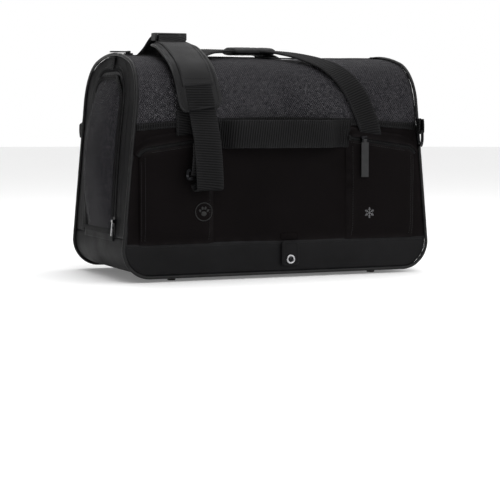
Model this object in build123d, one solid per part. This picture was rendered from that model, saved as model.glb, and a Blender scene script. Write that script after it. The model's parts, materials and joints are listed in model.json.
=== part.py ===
"""Soft-sided pet carrier bag, in millimetres, +Z up, standing on its four feet.

The shell is two crossed strips. One strip makes the long sides and the roof. The other makes the
bottom and the two ends. A piped seam joins them, and every panel is cut out of one of the two.
"""

import math
import os

from build123d import *

# ---- driving dimensions ---------------------------------------------------------------------
LENGTH = 456.0  # over the piping
WIDTH = 230.0  # over the piping
HEIGHT = 303.0  # floor to the crest of the roof
FOOT = 8.0  # height of a foot under the bottom
WALL = 2.0  # shell fabric with its foam, and mesh with its binding
BEAD = 3.4  # how far the piping stands out of the shell
LEAN_DEG = 5.35  # each end leans inwards towards the roof
BOTTOM_R = 36.0  # rounded corner between bottom and end
CORNER_R = 55.0  # rounded corner between long side and roof
CROWN_DEG = 16.0  # slope of the roof where it meets that corner
BAND_TOP = 50.0  # top of the coated band round the base
END_BAND_TOP = 58.0  # the same on the ends, and the bottom of the doorways
MESH_LOW, MESH_HIGH = 200.0, 214.0  # lower edge of the mesh, at the ends and in the middle
GAP = 0.35  # clearance between pieces that move past each other
WEB = 2.5  # thickness of webbing
WEB_WIDTH = 38.0  # shoulder strap and trolley strap

HALF_L = LENGTH / 2 - BEAD
HALF_W = WIDTH / 2 - BEAD
BASE_Z = FOOT
LEAN = math.radians(LEAN_DEG)

os.makedirs("parts", exist_ok=True)


def save(name, shape):
    """Write one node."""
    export_step(shape, f"parts/{name}.step")


# ---- the two crossed profiles ---------------------------------------------------------------
def cross_section(half_width, corner_r, crown_deg, corner_z, offset, bottom):
    """Side-to-side outline in the YZ plane: straight sides, rounded corners, crowned roof."""
    slope = math.radians(crown_deg)
    centre_y = half_width - corner_r
    reach = centre_y + corner_r * math.sin(slope)
    crown_r = reach / math.sin(slope)
    crown_z = corner_z + corner_r * math.cos(slope) - crown_r * math.cos(slope)
    r = corner_r + offset

    def on_corner(side, angle):
        return (0, side * (centre_y + r * math.sin(angle)), corner_z + r * math.cos(angle))

    mid = (slope + math.pi / 2) / 2
    top = (0, 0, crown_z + crown_r + offset)
    edge = half_width + offset
    line = [
        Line((0, -edge, bottom), (0, -edge, corner_z)),
        ThreePointArc((0, -edge, corner_z), on_corner(-1, mid), on_corner(-1, slope)),
        ThreePointArc(on_corner(-1, slope), top, on_corner(1, slope)),
        ThreePointArc(on_corner(1, slope), on_corner(1, mid), (0, edge, corner_z)),
        Line((0, edge, corner_z), (0, edge, bottom)),
        Line((0, edge, bottom), (0, -edge, bottom)),
    ]
    return make_face(line)


def crest(half_width, corner_r, crown_deg, corner_z):
    """Height of the crest of cross_section() at no offset."""
    slope = math.radians(crown_deg)
    reach = half_width - corner_r + corner_r * math.sin(slope)
    return corner_z + corner_r * math.cos(slope) + reach * math.tan(slope / 2)


CORNER_Z = HEIGHT - (crest(HALF_W, CORNER_R, CROWN_DEG, 0.0))
FAR = 400.0  # longer than anything here


def tunnel(offset, bottom=BASE_Z):
    """The side-and-roof shape, grown by offset, running through in X."""
    face = cross_section(HALF_W, CORNER_R, CROWN_DEG, CORNER_Z, offset, bottom)
    return Pos(-FAR, 0, 0) * extrude(face, amount=2 * FAR, dir=(1, 0, 0))


def end_x(z, offset=0.0):
    """Half-length of the bag at a height, above the rounded bottom corner."""
    return HALF_L - (z - BASE_Z - BOTTOM_R) * math.tan(LEAN) + offset / math.cos(LEAN)


def trough(offset):
    """The bottom-and-ends shape, grown by offset, running through in Y."""
    low, high = BASE_Z - offset, HEIGHT + 60
    outline = [
        (-end_x(low, offset), 0, low),
        (end_x(low, offset), 0, low),
        (end_x(high, offset), 0, high),
        (-end_x(high, offset), 0, high),
    ]
    face = make_face(Polyline(*outline, close=True))
    bottom = [v for v in face.vertices() if v.Z < low + 1]
    face = face.face().fillet_2d(BOTTOM_R + offset, bottom)
    return Pos(0, -FAR, 0) * extrude(face, amount=2 * FAR, dir=(0, 1, 0))


def block(x0, x1, y0, y1, z0, z1):
    """A box by its limits."""
    size = (x1 - x0, y1 - y0, z1 - z0)
    return Pos((x0 + x1) / 2, (y0 + y1) / 2, (z0 + z1) / 2) * Box(*size)


def near(shape):
    """The half of a shape on the near side, where the trolley strap is."""
    return shape & block(-FAR, FAR, -FAR, 0, -FAR, FAR)


def level(z0, z1):
    """Everything between two heights."""
    return block(-FAR, FAR, -FAR, FAR, z0, z1)


def mirror_y(shape):
    return mirror(shape, Plane.XZ)


def mirror_x(shape):
    return mirror(shape, Plane.YZ)


# ---- shell ----------------------------------------------------------------------------------
SIDE_STRIP = (tunnel(0) - tunnel(-WALL, BASE_Z - 5)) & trough(0)
END_STRIP = (trough(0) - trough(-WALL)) & tunnel(-WALL, BASE_Z - 5)


def below_mesh_line():
    """Everything under the arched lower edge of the mesh."""
    rise = [
        ThreePointArc((-HALF_L - 10, 0, MESH_LOW), (0, 0, MESH_HIGH), (HALF_L + 10, 0, MESH_LOW)),
        Line((HALF_L + 10, 0, MESH_LOW), (HALF_L + 10, 0, -5)),
        Line((HALF_L + 10, 0, -5), (-HALF_L - 10, 0, -5)),
        Line((-HALF_L - 10, 0, -5), (-HALF_L - 10, 0, MESH_LOW)),
    ]
    return Pos(0, -FAR, 0) * extrude(make_face(rise), amount=2 * FAR, dir=(0, 1, 0))


ROOF_ZIP_HALF = 4.0  # half the width of the coil zip along the crest


def shell():
    lower = below_mesh_line()
    band = near(SIDE_STRIP & level(0, BAND_TOP))
    panel = near(SIDE_STRIP & lower & level(BAND_TOP, FAR))
    mesh = near((SIDE_STRIP & level(BAND_TOP, FAR)) - lower) & block(-FAR, FAR, -FAR, -ROOF_ZIP_HALF, 0, FAR)
    for name, piece in (("side_band", band), ("side_panel", panel), ("mesh", mesh)):
        save(f"{name}_near", piece)
        save(f"{name}_far", mirror_y(piece))
    save("bottom_panel", END_STRIP & level(0, END_BAND_TOP))
    save("roof_zip", SIDE_STRIP & block(-FAR, FAR, -ROOF_ZIP_HALF, ROOF_ZIP_HALF, HEIGHT - 20, FAR))
    bead = (tunnel(BEAD, BASE_Z - BEAD) - tunnel(0, BASE_Z - 9)) & (trough(BEAD) - trough(-1.0))
    save("seam_piping", bead - level(-FAR, BASE_Z - BEAD))


# ---- ends: frame, doorway, door -------------------------------------------------------------
DOOR_HALF = 71.0  # half-width of the doorway
DOOR_TOP = 284.0
DOOR_CORNER = 48.0
COIL = 5.5  # width of the zip's coil
DOOR_CLEAR = 8.0  # doorway edge to door edge: coil, and room beside it
BORDER = 7.0  # binding round the door's mesh
HINGE_Z = END_BAND_TOP + 2.0
DOOR_LOW = HINGE_Z + 0.8


def arch(inset, low, half=DOOR_HALF, top=DOOR_TOP, corner=DOOR_CORNER):
    """Doorway outline, set in by inset and running through in X."""
    face = make_face(
        Polyline(
            (0, -half + inset, low),
            (0, half - inset, low),
            (0, half - inset, top - inset),
            (0, -half + inset, top - inset),
            close=True,
        )
    )
    upper = [v for v in face.vertices() if v.Z > low + 20]
    face = face.face().fillet_2d(corner - inset, upper)
    return Pos(-FAR, 0, 0) * extrude(face, amount=2 * FAR, dir=(1, 0, 0))


def ends():
    left = END_STRIP & block(-FAR, 0, -FAR, FAR, END_BAND_TOP, FAR)
    pieces = {
        "end_frame": left - arch(0, END_BAND_TOP - 5),
        "door_zip": (left & arch(0, END_BAND_TOP)) - arch(COIL, END_BAND_TOP - 5),
        "door_mesh": left & arch(DOOR_CLEAR + BORDER, DOOR_LOW + BORDER),
        "door_border": (left & arch(DOOR_CLEAR, DOOR_LOW)) - arch(DOOR_CLEAR + BORDER, DOOR_LOW + BORDER),
    }
    wide, tall, thick = ZIP_TAB
    shell_out = trough(0.4 + thick) - trough(0.4)
    pieces["zip_tab"] = shell_out & block(
        -FAR, 0, ZIP_TAB_Y - wide / 2, ZIP_TAB_Y + wide / 2, HEIGHT - 3 - tall, HEIGHT - 3
    )
    hoop = (tunnel(-WALL - 0.4, 0) - tunnel(-WALL - 3.4, -5)) & (trough(-WALL - 0.4) - trough(-WALL - 3.4))
    pieces["hoop"] = hoop & block(-FAR, 0, -FAR, FAR, BAND_TOP, FAR)
    for name, piece in pieces.items():
        save(f"{name}_left", piece)
        save(f"{name}_right", mirror_x(piece))


# ---- inside, and feet -----------------------------------------------------------------------
BOARD = 3.0
MAT = 12.0
FOOT_R = 6.5
FOOT_X, FOOT_Y = 150.0, 88.0


def rounded_slab(x, y, z0, thick, corner):
    face = Pos(0, 0, z0) * RectangleRounded(x, y, corner)
    return extrude(face, amount=thick, dir=(0, 0, 1))


def inside_and_feet():
    board_z = BASE_Z + WALL + 0.3
    mat_z = board_z + BOARD + 0.3
    flat = 2 * (HALF_L - BOTTOM_R)
    save("bottom_board", rounded_slab(flat - 2, 2 * HALF_W - 12, board_z, BOARD, 12))
    mat = rounded_slab(flat + 6, 2 * HALF_W - 10, mat_z, MAT, 22)
    save("mat", mat)
    foot = Cone(FOOT_R, FOOT_R - 1.2, FOOT, rotation=(180, 0, 0))
    spots = [(sx * FOOT_X, sy * FOOT_Y) for sx in (-1, 1) for sy in (-1, 1)]
    save("feet", Compound([Pos(x, y, FOOT / 2) * foot for x, y in spots]))


# ---- pockets on the near side ---------------------------------------------------------------
POCKET_OUT = 5.5  # how far an empty pocket stands out
POCKET_X = (100.0, 204.0)  # inner and outer edge
POCKET_CORNER = 16.0  # rounding of the outer top corner
POCKET_LOW = BAND_TOP + 1.0
ZIP_Z = (187.0, 172.0)  # height of the pocket's zip at those edges
ZIP_BAND = 7.0  # width of the pocket's zip
FACE_Y = -HALF_W  # the near side's outer face


def zip_height(x):
    """Height of the pocket zip's lower edge along the pocket, counted outwards."""
    share = (x - POCKET_X[0]) / (POCKET_X[1] - POCKET_X[0])
    return ZIP_Z[0] + (ZIP_Z[1] - ZIP_Z[0]) * share


ZIP_SLOPE = math.atan2(ZIP_Z[1] - ZIP_Z[0], POCKET_X[1] - POCKET_X[0])


def front_face(points, y, depth, corner=0.0):
    """A plate standing out of the near side, from its outline in X and Z; corner rounds its third point."""
    face = make_face(Polyline(*[(x, y, z) for x, z in points], close=True)).face()
    if corner:
        x, z = points[2]
        face = face.fillet_2d(corner, [v for v in face.vertices() if abs(v.X - x) + abs(v.Z - z) < 1])
    return extrude(face, amount=depth, dir=(0, -1, 0))


def pockets():
    inner, outer = POCKET_X
    low_in, low_out = zip_height(inner), zip_height(outer)
    outline = [(inner, POCKET_LOW), (outer, POCKET_LOW), (outer, low_out), (inner, low_in)]
    end, low_end = outer - POCKET_CORNER, zip_height(outer - POCKET_CORNER)
    zip_line = [(inner, low_in), (end, low_end), (end, low_end + ZIP_BAND), (inner, low_in + ZIP_BAND)]
    panel = front_face(outline, FACE_Y, POCKET_OUT, POCKET_CORNER)
    coil = front_face(zip_line, FACE_Y, POCKET_OUT)
    save("pocket_right", panel)
    save("pocket_left", mirror_x(panel))
    save("pocket_zip_right", coil)
    save("pocket_zip_left", mirror_x(coil))


# ---- zip sliders and their pulls ------------------------------------------------------------
SLIDER = (9.0, 11.0, 3.0)  # across the zip, along it, and out from it


def slider_and_pull(frame, pull_length, pull_width, name):
    """A slider on the plane of its zip, local Y along the zip and Z outwards; its pull hangs along -Y.

    The pull turns on the bail, a round bar across the slider.
    """
    across, along, out = SLIDER
    body = Pos(0, 0, GAP + out / 2) * Box(across, along, out)
    bar_z = GAP + out + 1.7
    ears = [Pos(sx * (across / 2 - 0.8), 0, GAP + out + 1.5) * Box(1.6, 4.4, 3.0) for sx in (-1, 1)]
    bar = Pos(0, 0, bar_z) * Rotation(0, 90, 0) * Cylinder(0.8, across - 1.6)
    save(f"{name}_slider", frame * (body + ears + bar))
    ring = Pos(0, 0, bar_z) * Rotation(0, 90, 0) * (Cylinder(1.5, 5.0) - Cylinder(0.88, 5.2))
    blade = Pos(0, -1.2 - pull_length / 2, bar_z) * Box(pull_width, pull_length, 1.8)
    blade -= Pos(0, 0, bar_z) * Rotation(0, 90, 0) * Cylinder(0.88, 20)
    if pull_width > 5.2:
        blade -= Pos(0, -0.6, bar_z) * Box(pull_width + 2, 5.4, 4)
        stem = Pos(0, -2.6, bar_z) * Box(4.6, 3.0, 1.8)
        stem -= Pos(0, 0, bar_z) * Rotation(0, 90, 0) * Cylinder(0.88, 20)
        blade += stem
    save(f"{name}_pull", frame * (ring + blade))


END_NORMAL = Vector(-math.cos(LEAN), 0, math.sin(LEAN))  # out of the left end


def plane_at(origin, x_dir, normal):
    return Plane(origin=origin, x_dir=x_dir, z_dir=normal).location


ZIP_TAB = (12.0, 17.0, 3.0)  # width, length and thickness of the webbing tab at each end of the roof zip
ZIP_TAB_Y = -6.0
DOOR_SLIDER_Z = END_BAND_TOP + 22.0
ROOF_SLIDER_X = -180.0
POCKET_SLIDER_X = {-1: 114.0, 1: 123.0}


def sliders():
    track_y = -DOOR_HALF + COIL / 2 - 1.0
    left = plane_at((-end_x(DOOR_SLIDER_Z), track_y, DOOR_SLIDER_Z), Vector(0, -1, 0), END_NORMAL)
    right_normal = Vector(-END_NORMAL.X, 0, END_NORMAL.Z)
    right = plane_at((end_x(DOOR_SLIDER_Z), track_y, DOOR_SLIDER_Z), Vector(0, 1, 0), right_normal)
    slider_and_pull(left, 19.0, 4.0, "door_left")
    slider_and_pull(right, 19.0, 4.0, "door_right")
    roof = plane_at((ROOF_SLIDER_X, 0, HEIGHT), Vector(0, -1, 0), Vector(0, 0, 1))
    slider_and_pull(roof, 24.0, 8.0, "roof")
    for side, name in ((-1, "pocket_left"), (1, "pocket_right")):
        x = POCKET_SLIDER_X[side]
        z = zip_height(x) + ZIP_BAND / 2
        frame = plane_at((side * x, FACE_Y - POCKET_OUT, z), Vector(1, 0, 0), Vector(0, -1, 0))
        slider_and_pull(frame, 50.0, 11.0, name)


# ---- ribbons of webbing ---------------------------------------------------------------------
def ribbon(points, normals, width, thick, tilt=None):
    """Webbing along a route: one flat rectangle at each point, joined by straight ruled faces.

    width is one number, or one for each point; tilt fixes the direction across the webbing.
    """
    sections = []
    widths = width if isinstance(width, list) else [width] * len(points)
    count = len(points)
    for i, (point, normal) in enumerate(zip(points, normals)):
        ahead = Vector(*points[min(i + 1, count - 1)])
        behind = Vector(*points[max(i - 1, 0)])
        tangent = (ahead - behind).normalized()
        across = tangent.cross(Vector(*normal)).normalized() if tilt is None else Vector(*tilt)
        out = across.cross(tangent).normalized()
        half, deep = across * (widths[i] / 2), out * (thick / 2)
        centre = Vector(*point)
        corners = [centre - half - deep, centre + half - deep, centre + half + deep, centre - half + deep]
        sections.append(Wire.make_polygon(corners, close=True))
    return Solid.make_loft(sections, ruled=True)


TROLLEY_Z = 196.0
TROLLEY_HALF = 98.0
TROLLEY_OUT = 17.0  # how far the strap bows off the side to let the trolley's tubes through


def trolley_strap():
    flat = FACE_Y - WEB / 2
    bow = FACE_Y - TROLLEY_OUT - WEB / 2
    route = [(-TROLLEY_HALF, flat), (-TROLLEY_HALF + 10, flat), (-TROLLEY_HALF + 26, bow + 4)]
    route += [(-52, bow), (0, bow - 1)]
    route += [(-x, y) for x, y in reversed(route[:-1])]
    points = [(x, y, TROLLEY_Z) for x, y in route]
    save("trolley_strap", ribbon(points, [(0, -1, 0)] * len(points), WEB_WIDTH, WEB, tilt=(0, 0, 1)))


SNAP_X = 13.0
TAB = (26.0, 36.0, 1.8)
SNAP_Z = BAND_TOP + 2 - 27.0


def snap_tab():
    wide, tall, thick = TAB
    top = BAND_TOP + 2
    cap_y = FACE_Y - 3.6 - thick
    tab = block(SNAP_X - wide / 2, SNAP_X + wide / 2, cap_y, cap_y + thick, top - tall, top - 1.5)
    cap = Pos(SNAP_X, cap_y, SNAP_Z) * Rotation(90, 0, 0) * Pos(0, 0, 1.0) * Cylinder(6.5, 2.0)
    socket = Pos(SNAP_X, cap_y + thick, SNAP_Z) * Rotation(-90, 0, 0) * Pos(0, 0, 0.8) * Cylinder(5.5, 1.6)
    socket -= Pos(SNAP_X, cap_y + thick, SNAP_Z) * Rotation(-90, 0, 0) * Pos(0, 0, 0.8) * Cylinder(2.6, 1.8)
    save("snap_tab", tab)
    save("snap_cap", Compound([cap, socket]))
    stud = Pos(SNAP_X, FACE_Y, SNAP_Z) * Rotation(90, 0, 0) * (
        Pos(0, 0, 0.6) * Cylinder(5.5, 1.2) + Pos(0, 0, 1.5) * Cylinder(2.2, 3.0)
    )
    save("snap_stud", stud)
    hem = block(SNAP_X - wide / 2, SNAP_X + wide / 2, FACE_Y - 1.6, FACE_Y, top + 0.5, top + 9)
    save("snap_hem", hem)


# ---- carry handles --------------------------------------------------------------------------
HANDLE_WIDTH = 32.0
GRIP_WIDTH = 20.0  # the webbing is gathered to this width under the wrap
HANDLE_FOOT_X = 136.0
HANDLE_FOOT_Z = 197.0
HANDLE_OFF = 1.8  # webbing's inner face off the side
HANDLE_SLOPE = math.radians(27.0)  # steeper than the roof's, so that the webbing clears the crest
HANDLE_BEND = {-1: 0.8, 1: 1.55}  # by side: 1 makes the laid-over arch an ellipse, more draws its shoulder in
HANDLE_Y = HALF_W + HANDLE_OFF + WEB / 2
HANDLE_R = CORNER_R + 3.0
HANDLE_REACH = HANDLE_Y - HANDLE_R + HANDLE_R * math.sin(HANDLE_SLOPE)
HANDLE_CROWN_R = HANDLE_REACH / math.sin(HANDLE_SLOPE)
HANDLE_CROWN_Z = CORNER_Z + (HANDLE_R - HANDLE_CROWN_R) * math.cos(HANDLE_SLOPE)
STRAIGHT = CORNER_Z - HANDLE_FOOT_Z
ROUND = HANDLE_R * (math.pi / 2 - HANDLE_SLOPE)
CREST_ANGLE = math.asin((GRIP_WIDTH / 2 + 1.0) / HANDLE_CROWN_R)
OVER = HANDLE_CROWN_R * (HANDLE_SLOPE - CREST_ANGLE)


def handle_surface(s):
    """Point and outward normal in Y and Z on the near side, s mm up from the handle's foot."""
    if s < STRAIGHT:
        return (-HANDLE_Y, HANDLE_FOOT_Z + s), (-1.0, 0.0)
    if s < STRAIGHT + ROUND:
        angle = (s - STRAIGHT) / HANDLE_R
        y = HANDLE_R - HANDLE_Y - HANDLE_R * math.cos(angle)
        return (y, CORNER_Z + HANDLE_R * math.sin(angle)), (-math.cos(angle), math.sin(angle))
    angle = HANDLE_SLOPE - (s - STRAIGHT - ROUND) / HANDLE_CROWN_R
    y, z = -HANDLE_CROWN_R * math.sin(angle), HANDLE_CROWN_Z + HANDLE_CROWN_R * math.cos(angle)
    return (y, z), (-math.sin(angle), math.cos(angle))


def handle_path(steps=14):
    """The near handle's centre line, foot to foot: an arch laid over the side and roof. Also its widths."""
    points, normals, widths = [], [], []
    for i in range(-steps, steps + 1):
        t = i / steps * math.pi / 2
        bend = HANDLE_BEND[-1 if t < 0 else 1]
        x = HANDLE_FOOT_X * math.copysign(abs(math.sin(t)) ** bend, t)
        s = (STRAIGHT + ROUND + OVER) * max(math.cos(t), 0.0) ** bend
        (y, z), (ny, nz) = handle_surface(s)
        points.append((x, y, z))
        normals.append((0, ny, nz))
        gathered = max(0.0, 1 - abs(x) / 70.0)
        widths.append(HANDLE_WIDTH - (HANDLE_WIDTH - GRIP_WIDTH) * min(1.0, 1.6 * gathered))
    return points, normals, widths


WRAP_HALF = (31.0, 25.0)  # half-length of the wrap, and half its width
WRAP_Z = (306.6, 316.4)


def handles():
    points, normals, widths = handle_path()
    loop = ribbon(points, normals, widths, WEB)
    save("handle_near", loop)
    save("handle_far", mirror_y(loop))
    room = ribbon(points, normals, [width + 2 * GAP for width in widths], WEB + 2 * GAP)
    half_x, half_y = WRAP_HALF
    wrap = block(-half_x, half_x, -half_y, half_y, *WRAP_Z)
    wrap = fillet(wrap.edges().filter_by(Axis.X), 4.0)
    wrap = wrap - room - mirror_y(room)
    save("handle_wrap", wrap)


# ---- D-rings and their tabs -----------------------------------------------------------------
RING_HALF = 13.0
RING_DROP = 22.0
RING_WIRE = 3.4
BAR_R = 1.8
NEAR_RING = Vector(206.0, -129.0, 199.0)  # on the right near corner, hanging free
NEAR_OUT = Vector(-0.25, -0.968, 0).normalized()  # its tab stands out of the seam this way
FAR_RING = Vector(-206.0, 129.0, 206.0)  # on the left far corner, held up by the strap
FAR_OUT = Vector(0, 1, 0)
FAR_LEAN = math.radians(40.0)  # the strap pulls the far ring and its hook over, towards the middle
FAR_BOW = Vector(math.sin(FAR_LEAN), 0, math.cos(FAR_LEAN))


def ring_plane(origin, out, bow):
    """Local X along the ring's bar and out of the seam, local -Y towards the ring's bow."""
    return Plane(origin=origin, x_dir=out, z_dir=bow.cross(out)).location


def ring_shape():
    """A D-ring in the XY plane, its straight bar on the X axis and the bow on the -Y side."""
    def bow(half, drop, top):
        return make_face(
            [
                Line((-half, top), (-half, -8)),
                ThreePointArc((-half, -8), (0, -drop), (half, -8)),
                Line((half, -8), (half, top)),
                Line((half, top), (-half, top)),
            ]
        )

    flat = bow(RING_HALF, RING_DROP, 0) - bow(RING_HALF - RING_WIRE, RING_DROP - RING_WIRE, 3)
    ring = Pos(0, 0, -RING_WIRE / 2) * extrude(flat, amount=RING_WIRE, dir=(0, 0, 1))
    bar = Rotation(0, 90, 0) * Cylinder(BAR_R, 2 * RING_HALF)
    return ring + bar


def tab_shape():
    """Webbing folded round the ring's bar, reaching back to the seam above the ring."""
    thick = 6.4
    fold = block(-8.8, 8.8, -3.0, 5.0, -thick / 2, thick / 2)
    upper = block(-13.6, 8.8, 5.0, 17.0, -thick / 2, thick / 2)
    bore = Rotation(0, 90, 0) * Cylinder(BAR_R + 0.08, 40)
    return fold + upper - bore


def rings():
    up = Vector(0, 0, 1)
    save("dring_right", ring_plane(NEAR_RING, NEAR_OUT, -up) * ring_shape())
    save("dring_tab_right", ring_plane(NEAR_RING, NEAR_OUT, -up) * tab_shape())
    save("dring_left", ring_plane(FAR_RING, FAR_OUT, FAR_BOW) * ring_shape())
    save("dring_tab_left", ring_plane(FAR_RING, FAR_OUT, up) * tab_shape())


# ---- snap hooks -----------------------------------------------------------------------------
EYE = (48.0, 15.0, 4.0)  # the eye that holds the webbing: width, height, thickness
HOOK_CENTRE = 43.0  # middle of the hook's bow, from the foot of the eye
GATE_X, GATE_Z = -9.6, 36.4
PIN_R = 2.0


def snap_hook(place, name):
    """Eye, hook and gate; local Z runs from the webbing to the bow, local Y through the hook."""
    width, tall, thick = EYE
    eye = Pos(0, 0, tall / 2) * Box(width, thick, tall)
    eye = fillet(eye.edges().filter_by(Axis.Y), 4.5)
    eye -= Pos(0, 0, tall / 2) * Box(width - 7, thick + 2, tall - 8)
    eye += Pos(0, 0, tall + 2.5) * Cylinder(5.0, 7.0)
    eye -= Pos(0, 0, tall + 3.4) * Cylinder(PIN_R + 0.06, 6.0)
    save(f"{name}_eye", place * eye)
    outer = RectangleRounded(24, 36, 11.5)
    inner = RectangleRounded(13, 24, 6.4)
    slot = Pos(-9.2, -2.0) * Rectangle(6.4, 14)
    flat = extrude(outer - inner - slot, amount=5.0)
    body = Pos(0, 2.5, HOOK_CENTRE) * Rotation(90, 0, 0) * flat
    body += Pos(0, 0, tall + 8.2) * Cylinder(4.6, 3.6)
    body += Pos(0, 0, tall + 4.2) * Cylinder(PIN_R, 5.0)
    save(f"{name}_hook", place * body)
    gate = Pos(GATE_X, 0, GATE_Z) * Rotation(90, 0, 0) * Cylinder(2.1, 4.4)
    gate += Pos(GATE_X, 0, GATE_Z + 5.65) * Box(4.0, 4.4, 11.3)
    save(f"{name}_gate", place * gate)


# ---- shoulder strap -------------------------------------------------------------------------
STRAP_X = -120.0  # where its hooks are
PAD_WIDTH = 61.0
PAD_THICK = 7.0
PAD_ROUTE = [
    (-123.0, -15.0, 317.5),
    (-124.5, -30.0, 316.0),
    (-125.5, -47.0, 312.6),
    (-126.0, -64.0, 306.4),
    (-126.0, -84.0, 297.2),
    (-125.5, -101.0, 286.2),
    (-124.5, -111.5, 273.3),
    (-123.0, -118.4, 256.8),
    (-121.0, -121.9, 241.0),
    (-119.5, -123.6, 229.4),
]
TAIL_ROUTE = [  # down in front, round under the fold, and up behind to the hook's eye
    (-119.0, -124.3, 226.4),
    (-117.5, -130.4, 208.0),
    (-116.0, -136.6, 185.0),
    (-114.5, -139.4, 155.0),
    (-113.5, -139.4, 128.0),
    (-113.8, -137.6, 124.2),
    (-114.5, -134.3, 122.8),
    (-115.5, -131.0, 124.2),
    (-116.5, -129.4, 128.0),
    (-119.0, -129.4, 135.4),
]
HOOK_Z = 135.8
FAR_ROUTE = [
    (-158.4, 129.0, 262.8),
    (-151.0, 127.0, 271.5),
    (-143.0, 119.0, 280.0),
    (-135.5, 106.0, 288.5),
    (-129.0, 89.0, 297.0),
    (-124.0, 71.0, 305.5),
    (-121.0, 53.0, 315.0),
    (-120.0, 36.0, 324.5),
    (-120.0, 23.0, 329.0),
    (-120.0, 12.0, 329.6),
    (-120.0, -1.0, 329.6),
    (-120.0, -9.0, 329.3),
    (-121.0, -14.5, 325.5),
]
FAR_TURN = (0, 12, 30, 47, 57, 64, 69, 76, 86, 90, 90, 100, 122)  # degrees the webbing's face is turned up
GLIDE_Y = 1.0
HOOK_PLAY = 1.2  # between the far hook's bow and the ring


def strap():
    across = (1, 0, 0)

    def belt(route, width, thick):
        return ribbon(route, [across] * len(route), width, thick, tilt=across)

    save("shoulder_pad", belt(PAD_ROUTE, PAD_WIDTH, PAD_THICK))
    save("strap_tail", belt(TAIL_ROUTE, WEB_WIDTH, WEB))
    turns = [math.radians(turn) for turn in FAR_TURN]
    normals = [(0, math.cos(turn), math.sin(turn)) for turn in turns]
    save("strap_far", ribbon(FAR_ROUTE, normals, WEB_WIDTH, 2 * WEB))
    glide = Pos(STRAP_X, GLIDE_Y, 329.6) * Box(WEB_WIDTH + 8, 17, 10.5)
    glide = fillet(glide.edges().filter_by(Axis.X), 2.0)
    room = ribbon(FAR_ROUTE, normals, WEB_WIDTH + 2, 2 * WEB + 1.6)
    save("triglide", glide - room - Pos(STRAP_X, GLIDE_Y - 8, 329.6) * Box(WEB_WIDTH + 2, 12, 2 * WEB + 1.6))
    near_hook = Plane(origin=(STRAP_X, -129.4, HOOK_Z), x_dir=(1, 0, 0), z_dir=(0, 0, 1))
    snap_hook(near_hook.location, "near")
    foot = FAR_RING + FAR_BOW * (RING_DROP - RING_WIRE - HOOK_PLAY + HOOK_CENTRE + 12)
    snap_hook(Plane(origin=foot, x_dir=FAR_BOW.cross(FAR_OUT), z_dir=-FAR_BOW).location, "far")


shell()
ends()
inside_and_feet()
pockets()
sliders()
trolley_strap()
snap_tab()
handles()
rings()
strap()
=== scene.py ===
"""Looks of a soft-sided pet carrier bag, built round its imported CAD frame.

Shapes are worked out in millimetres in the bag's own frame, whose origin is under the middle of the
bag. add_piece() turns them into the row's metres.
"""

import json
import math

import bmesh
import bpy
import numpy as np
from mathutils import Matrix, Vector, noise


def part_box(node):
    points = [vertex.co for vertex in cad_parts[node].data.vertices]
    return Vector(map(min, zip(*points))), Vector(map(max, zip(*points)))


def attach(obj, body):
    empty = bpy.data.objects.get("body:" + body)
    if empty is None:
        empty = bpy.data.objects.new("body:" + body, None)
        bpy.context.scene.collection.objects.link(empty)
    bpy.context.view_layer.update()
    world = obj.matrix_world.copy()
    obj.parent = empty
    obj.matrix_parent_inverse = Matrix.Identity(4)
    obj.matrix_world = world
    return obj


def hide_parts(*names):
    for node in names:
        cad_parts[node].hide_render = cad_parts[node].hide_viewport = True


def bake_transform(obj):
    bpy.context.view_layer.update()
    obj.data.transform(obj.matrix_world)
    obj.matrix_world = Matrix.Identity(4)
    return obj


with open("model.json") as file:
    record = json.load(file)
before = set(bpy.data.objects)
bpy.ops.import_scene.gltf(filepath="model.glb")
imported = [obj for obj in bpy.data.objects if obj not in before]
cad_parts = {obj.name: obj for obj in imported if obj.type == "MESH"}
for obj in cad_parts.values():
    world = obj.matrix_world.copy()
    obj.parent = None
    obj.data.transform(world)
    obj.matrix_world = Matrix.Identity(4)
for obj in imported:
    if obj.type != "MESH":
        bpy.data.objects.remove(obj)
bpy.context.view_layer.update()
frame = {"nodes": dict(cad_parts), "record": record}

# ---- driving dimensions, from the frame ------------------------------------------------------
MM = 0.001
MID_Y = (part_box("side_band_near")[0].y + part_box("side_band_far")[1].y) / 2  # the bag's middle, in metres


def mm_box(node):
    """Lowest and highest corner of a CAD node, in the bag's millimetres."""
    shift = Vector((0, MID_Y, 0))
    return [(corner - shift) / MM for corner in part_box(node)]


HALF_W = mm_box("side_band_far")[1].y  # fabric to fabric, without the piping
HALF_L = mm_box("bottom_panel")[1].x
BASE_Z = mm_box("feet")[1].z
HEIGHT = mm_box("roof_zip")[1].z
BAND_TOP = mm_box("side_band_near")[1].z
END_BAND_TOP = mm_box("bottom_panel")[1].z
MESH_LOW = mm_box("mesh_near")[0].z
MESH_HIGH = mm_box("side_panel_near")[1].z
DOOR_HALF = mm_box("door_zip_left")[1].y
DOOR_TOP = mm_box("door_zip_left")[1].z
POCKET_IN, POCKET_OUTER = mm_box("pocket_right")[0].x, mm_box("pocket_right")[1].x
POCKET_LOW = mm_box("pocket_right")[0].z
POCKET_OUT = -HALF_W - mm_box("pocket_right")[0].y
ZIP_HIGH = mm_box("pocket_right")[1].z  # lower edge of the pocket's zip, at its inner end
ZIP_LOW = mm_box("pocket_zip_right")[0].z  # and at its outer end
TROLLEY_Z = sum(corner.z for corner in mm_box("trolley_strap")) / 2
TROLLEY_WIDE = mm_box("trolley_strap")[1].z - mm_box("trolley_strap")[0].z
TROLLEY_HALF = mm_box("trolley_strap")[1].x
STRAP_WIDE = 38.0  # the strap lies slanted, so its width can't be read from a box
PAD_WIDE = 61.0

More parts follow.
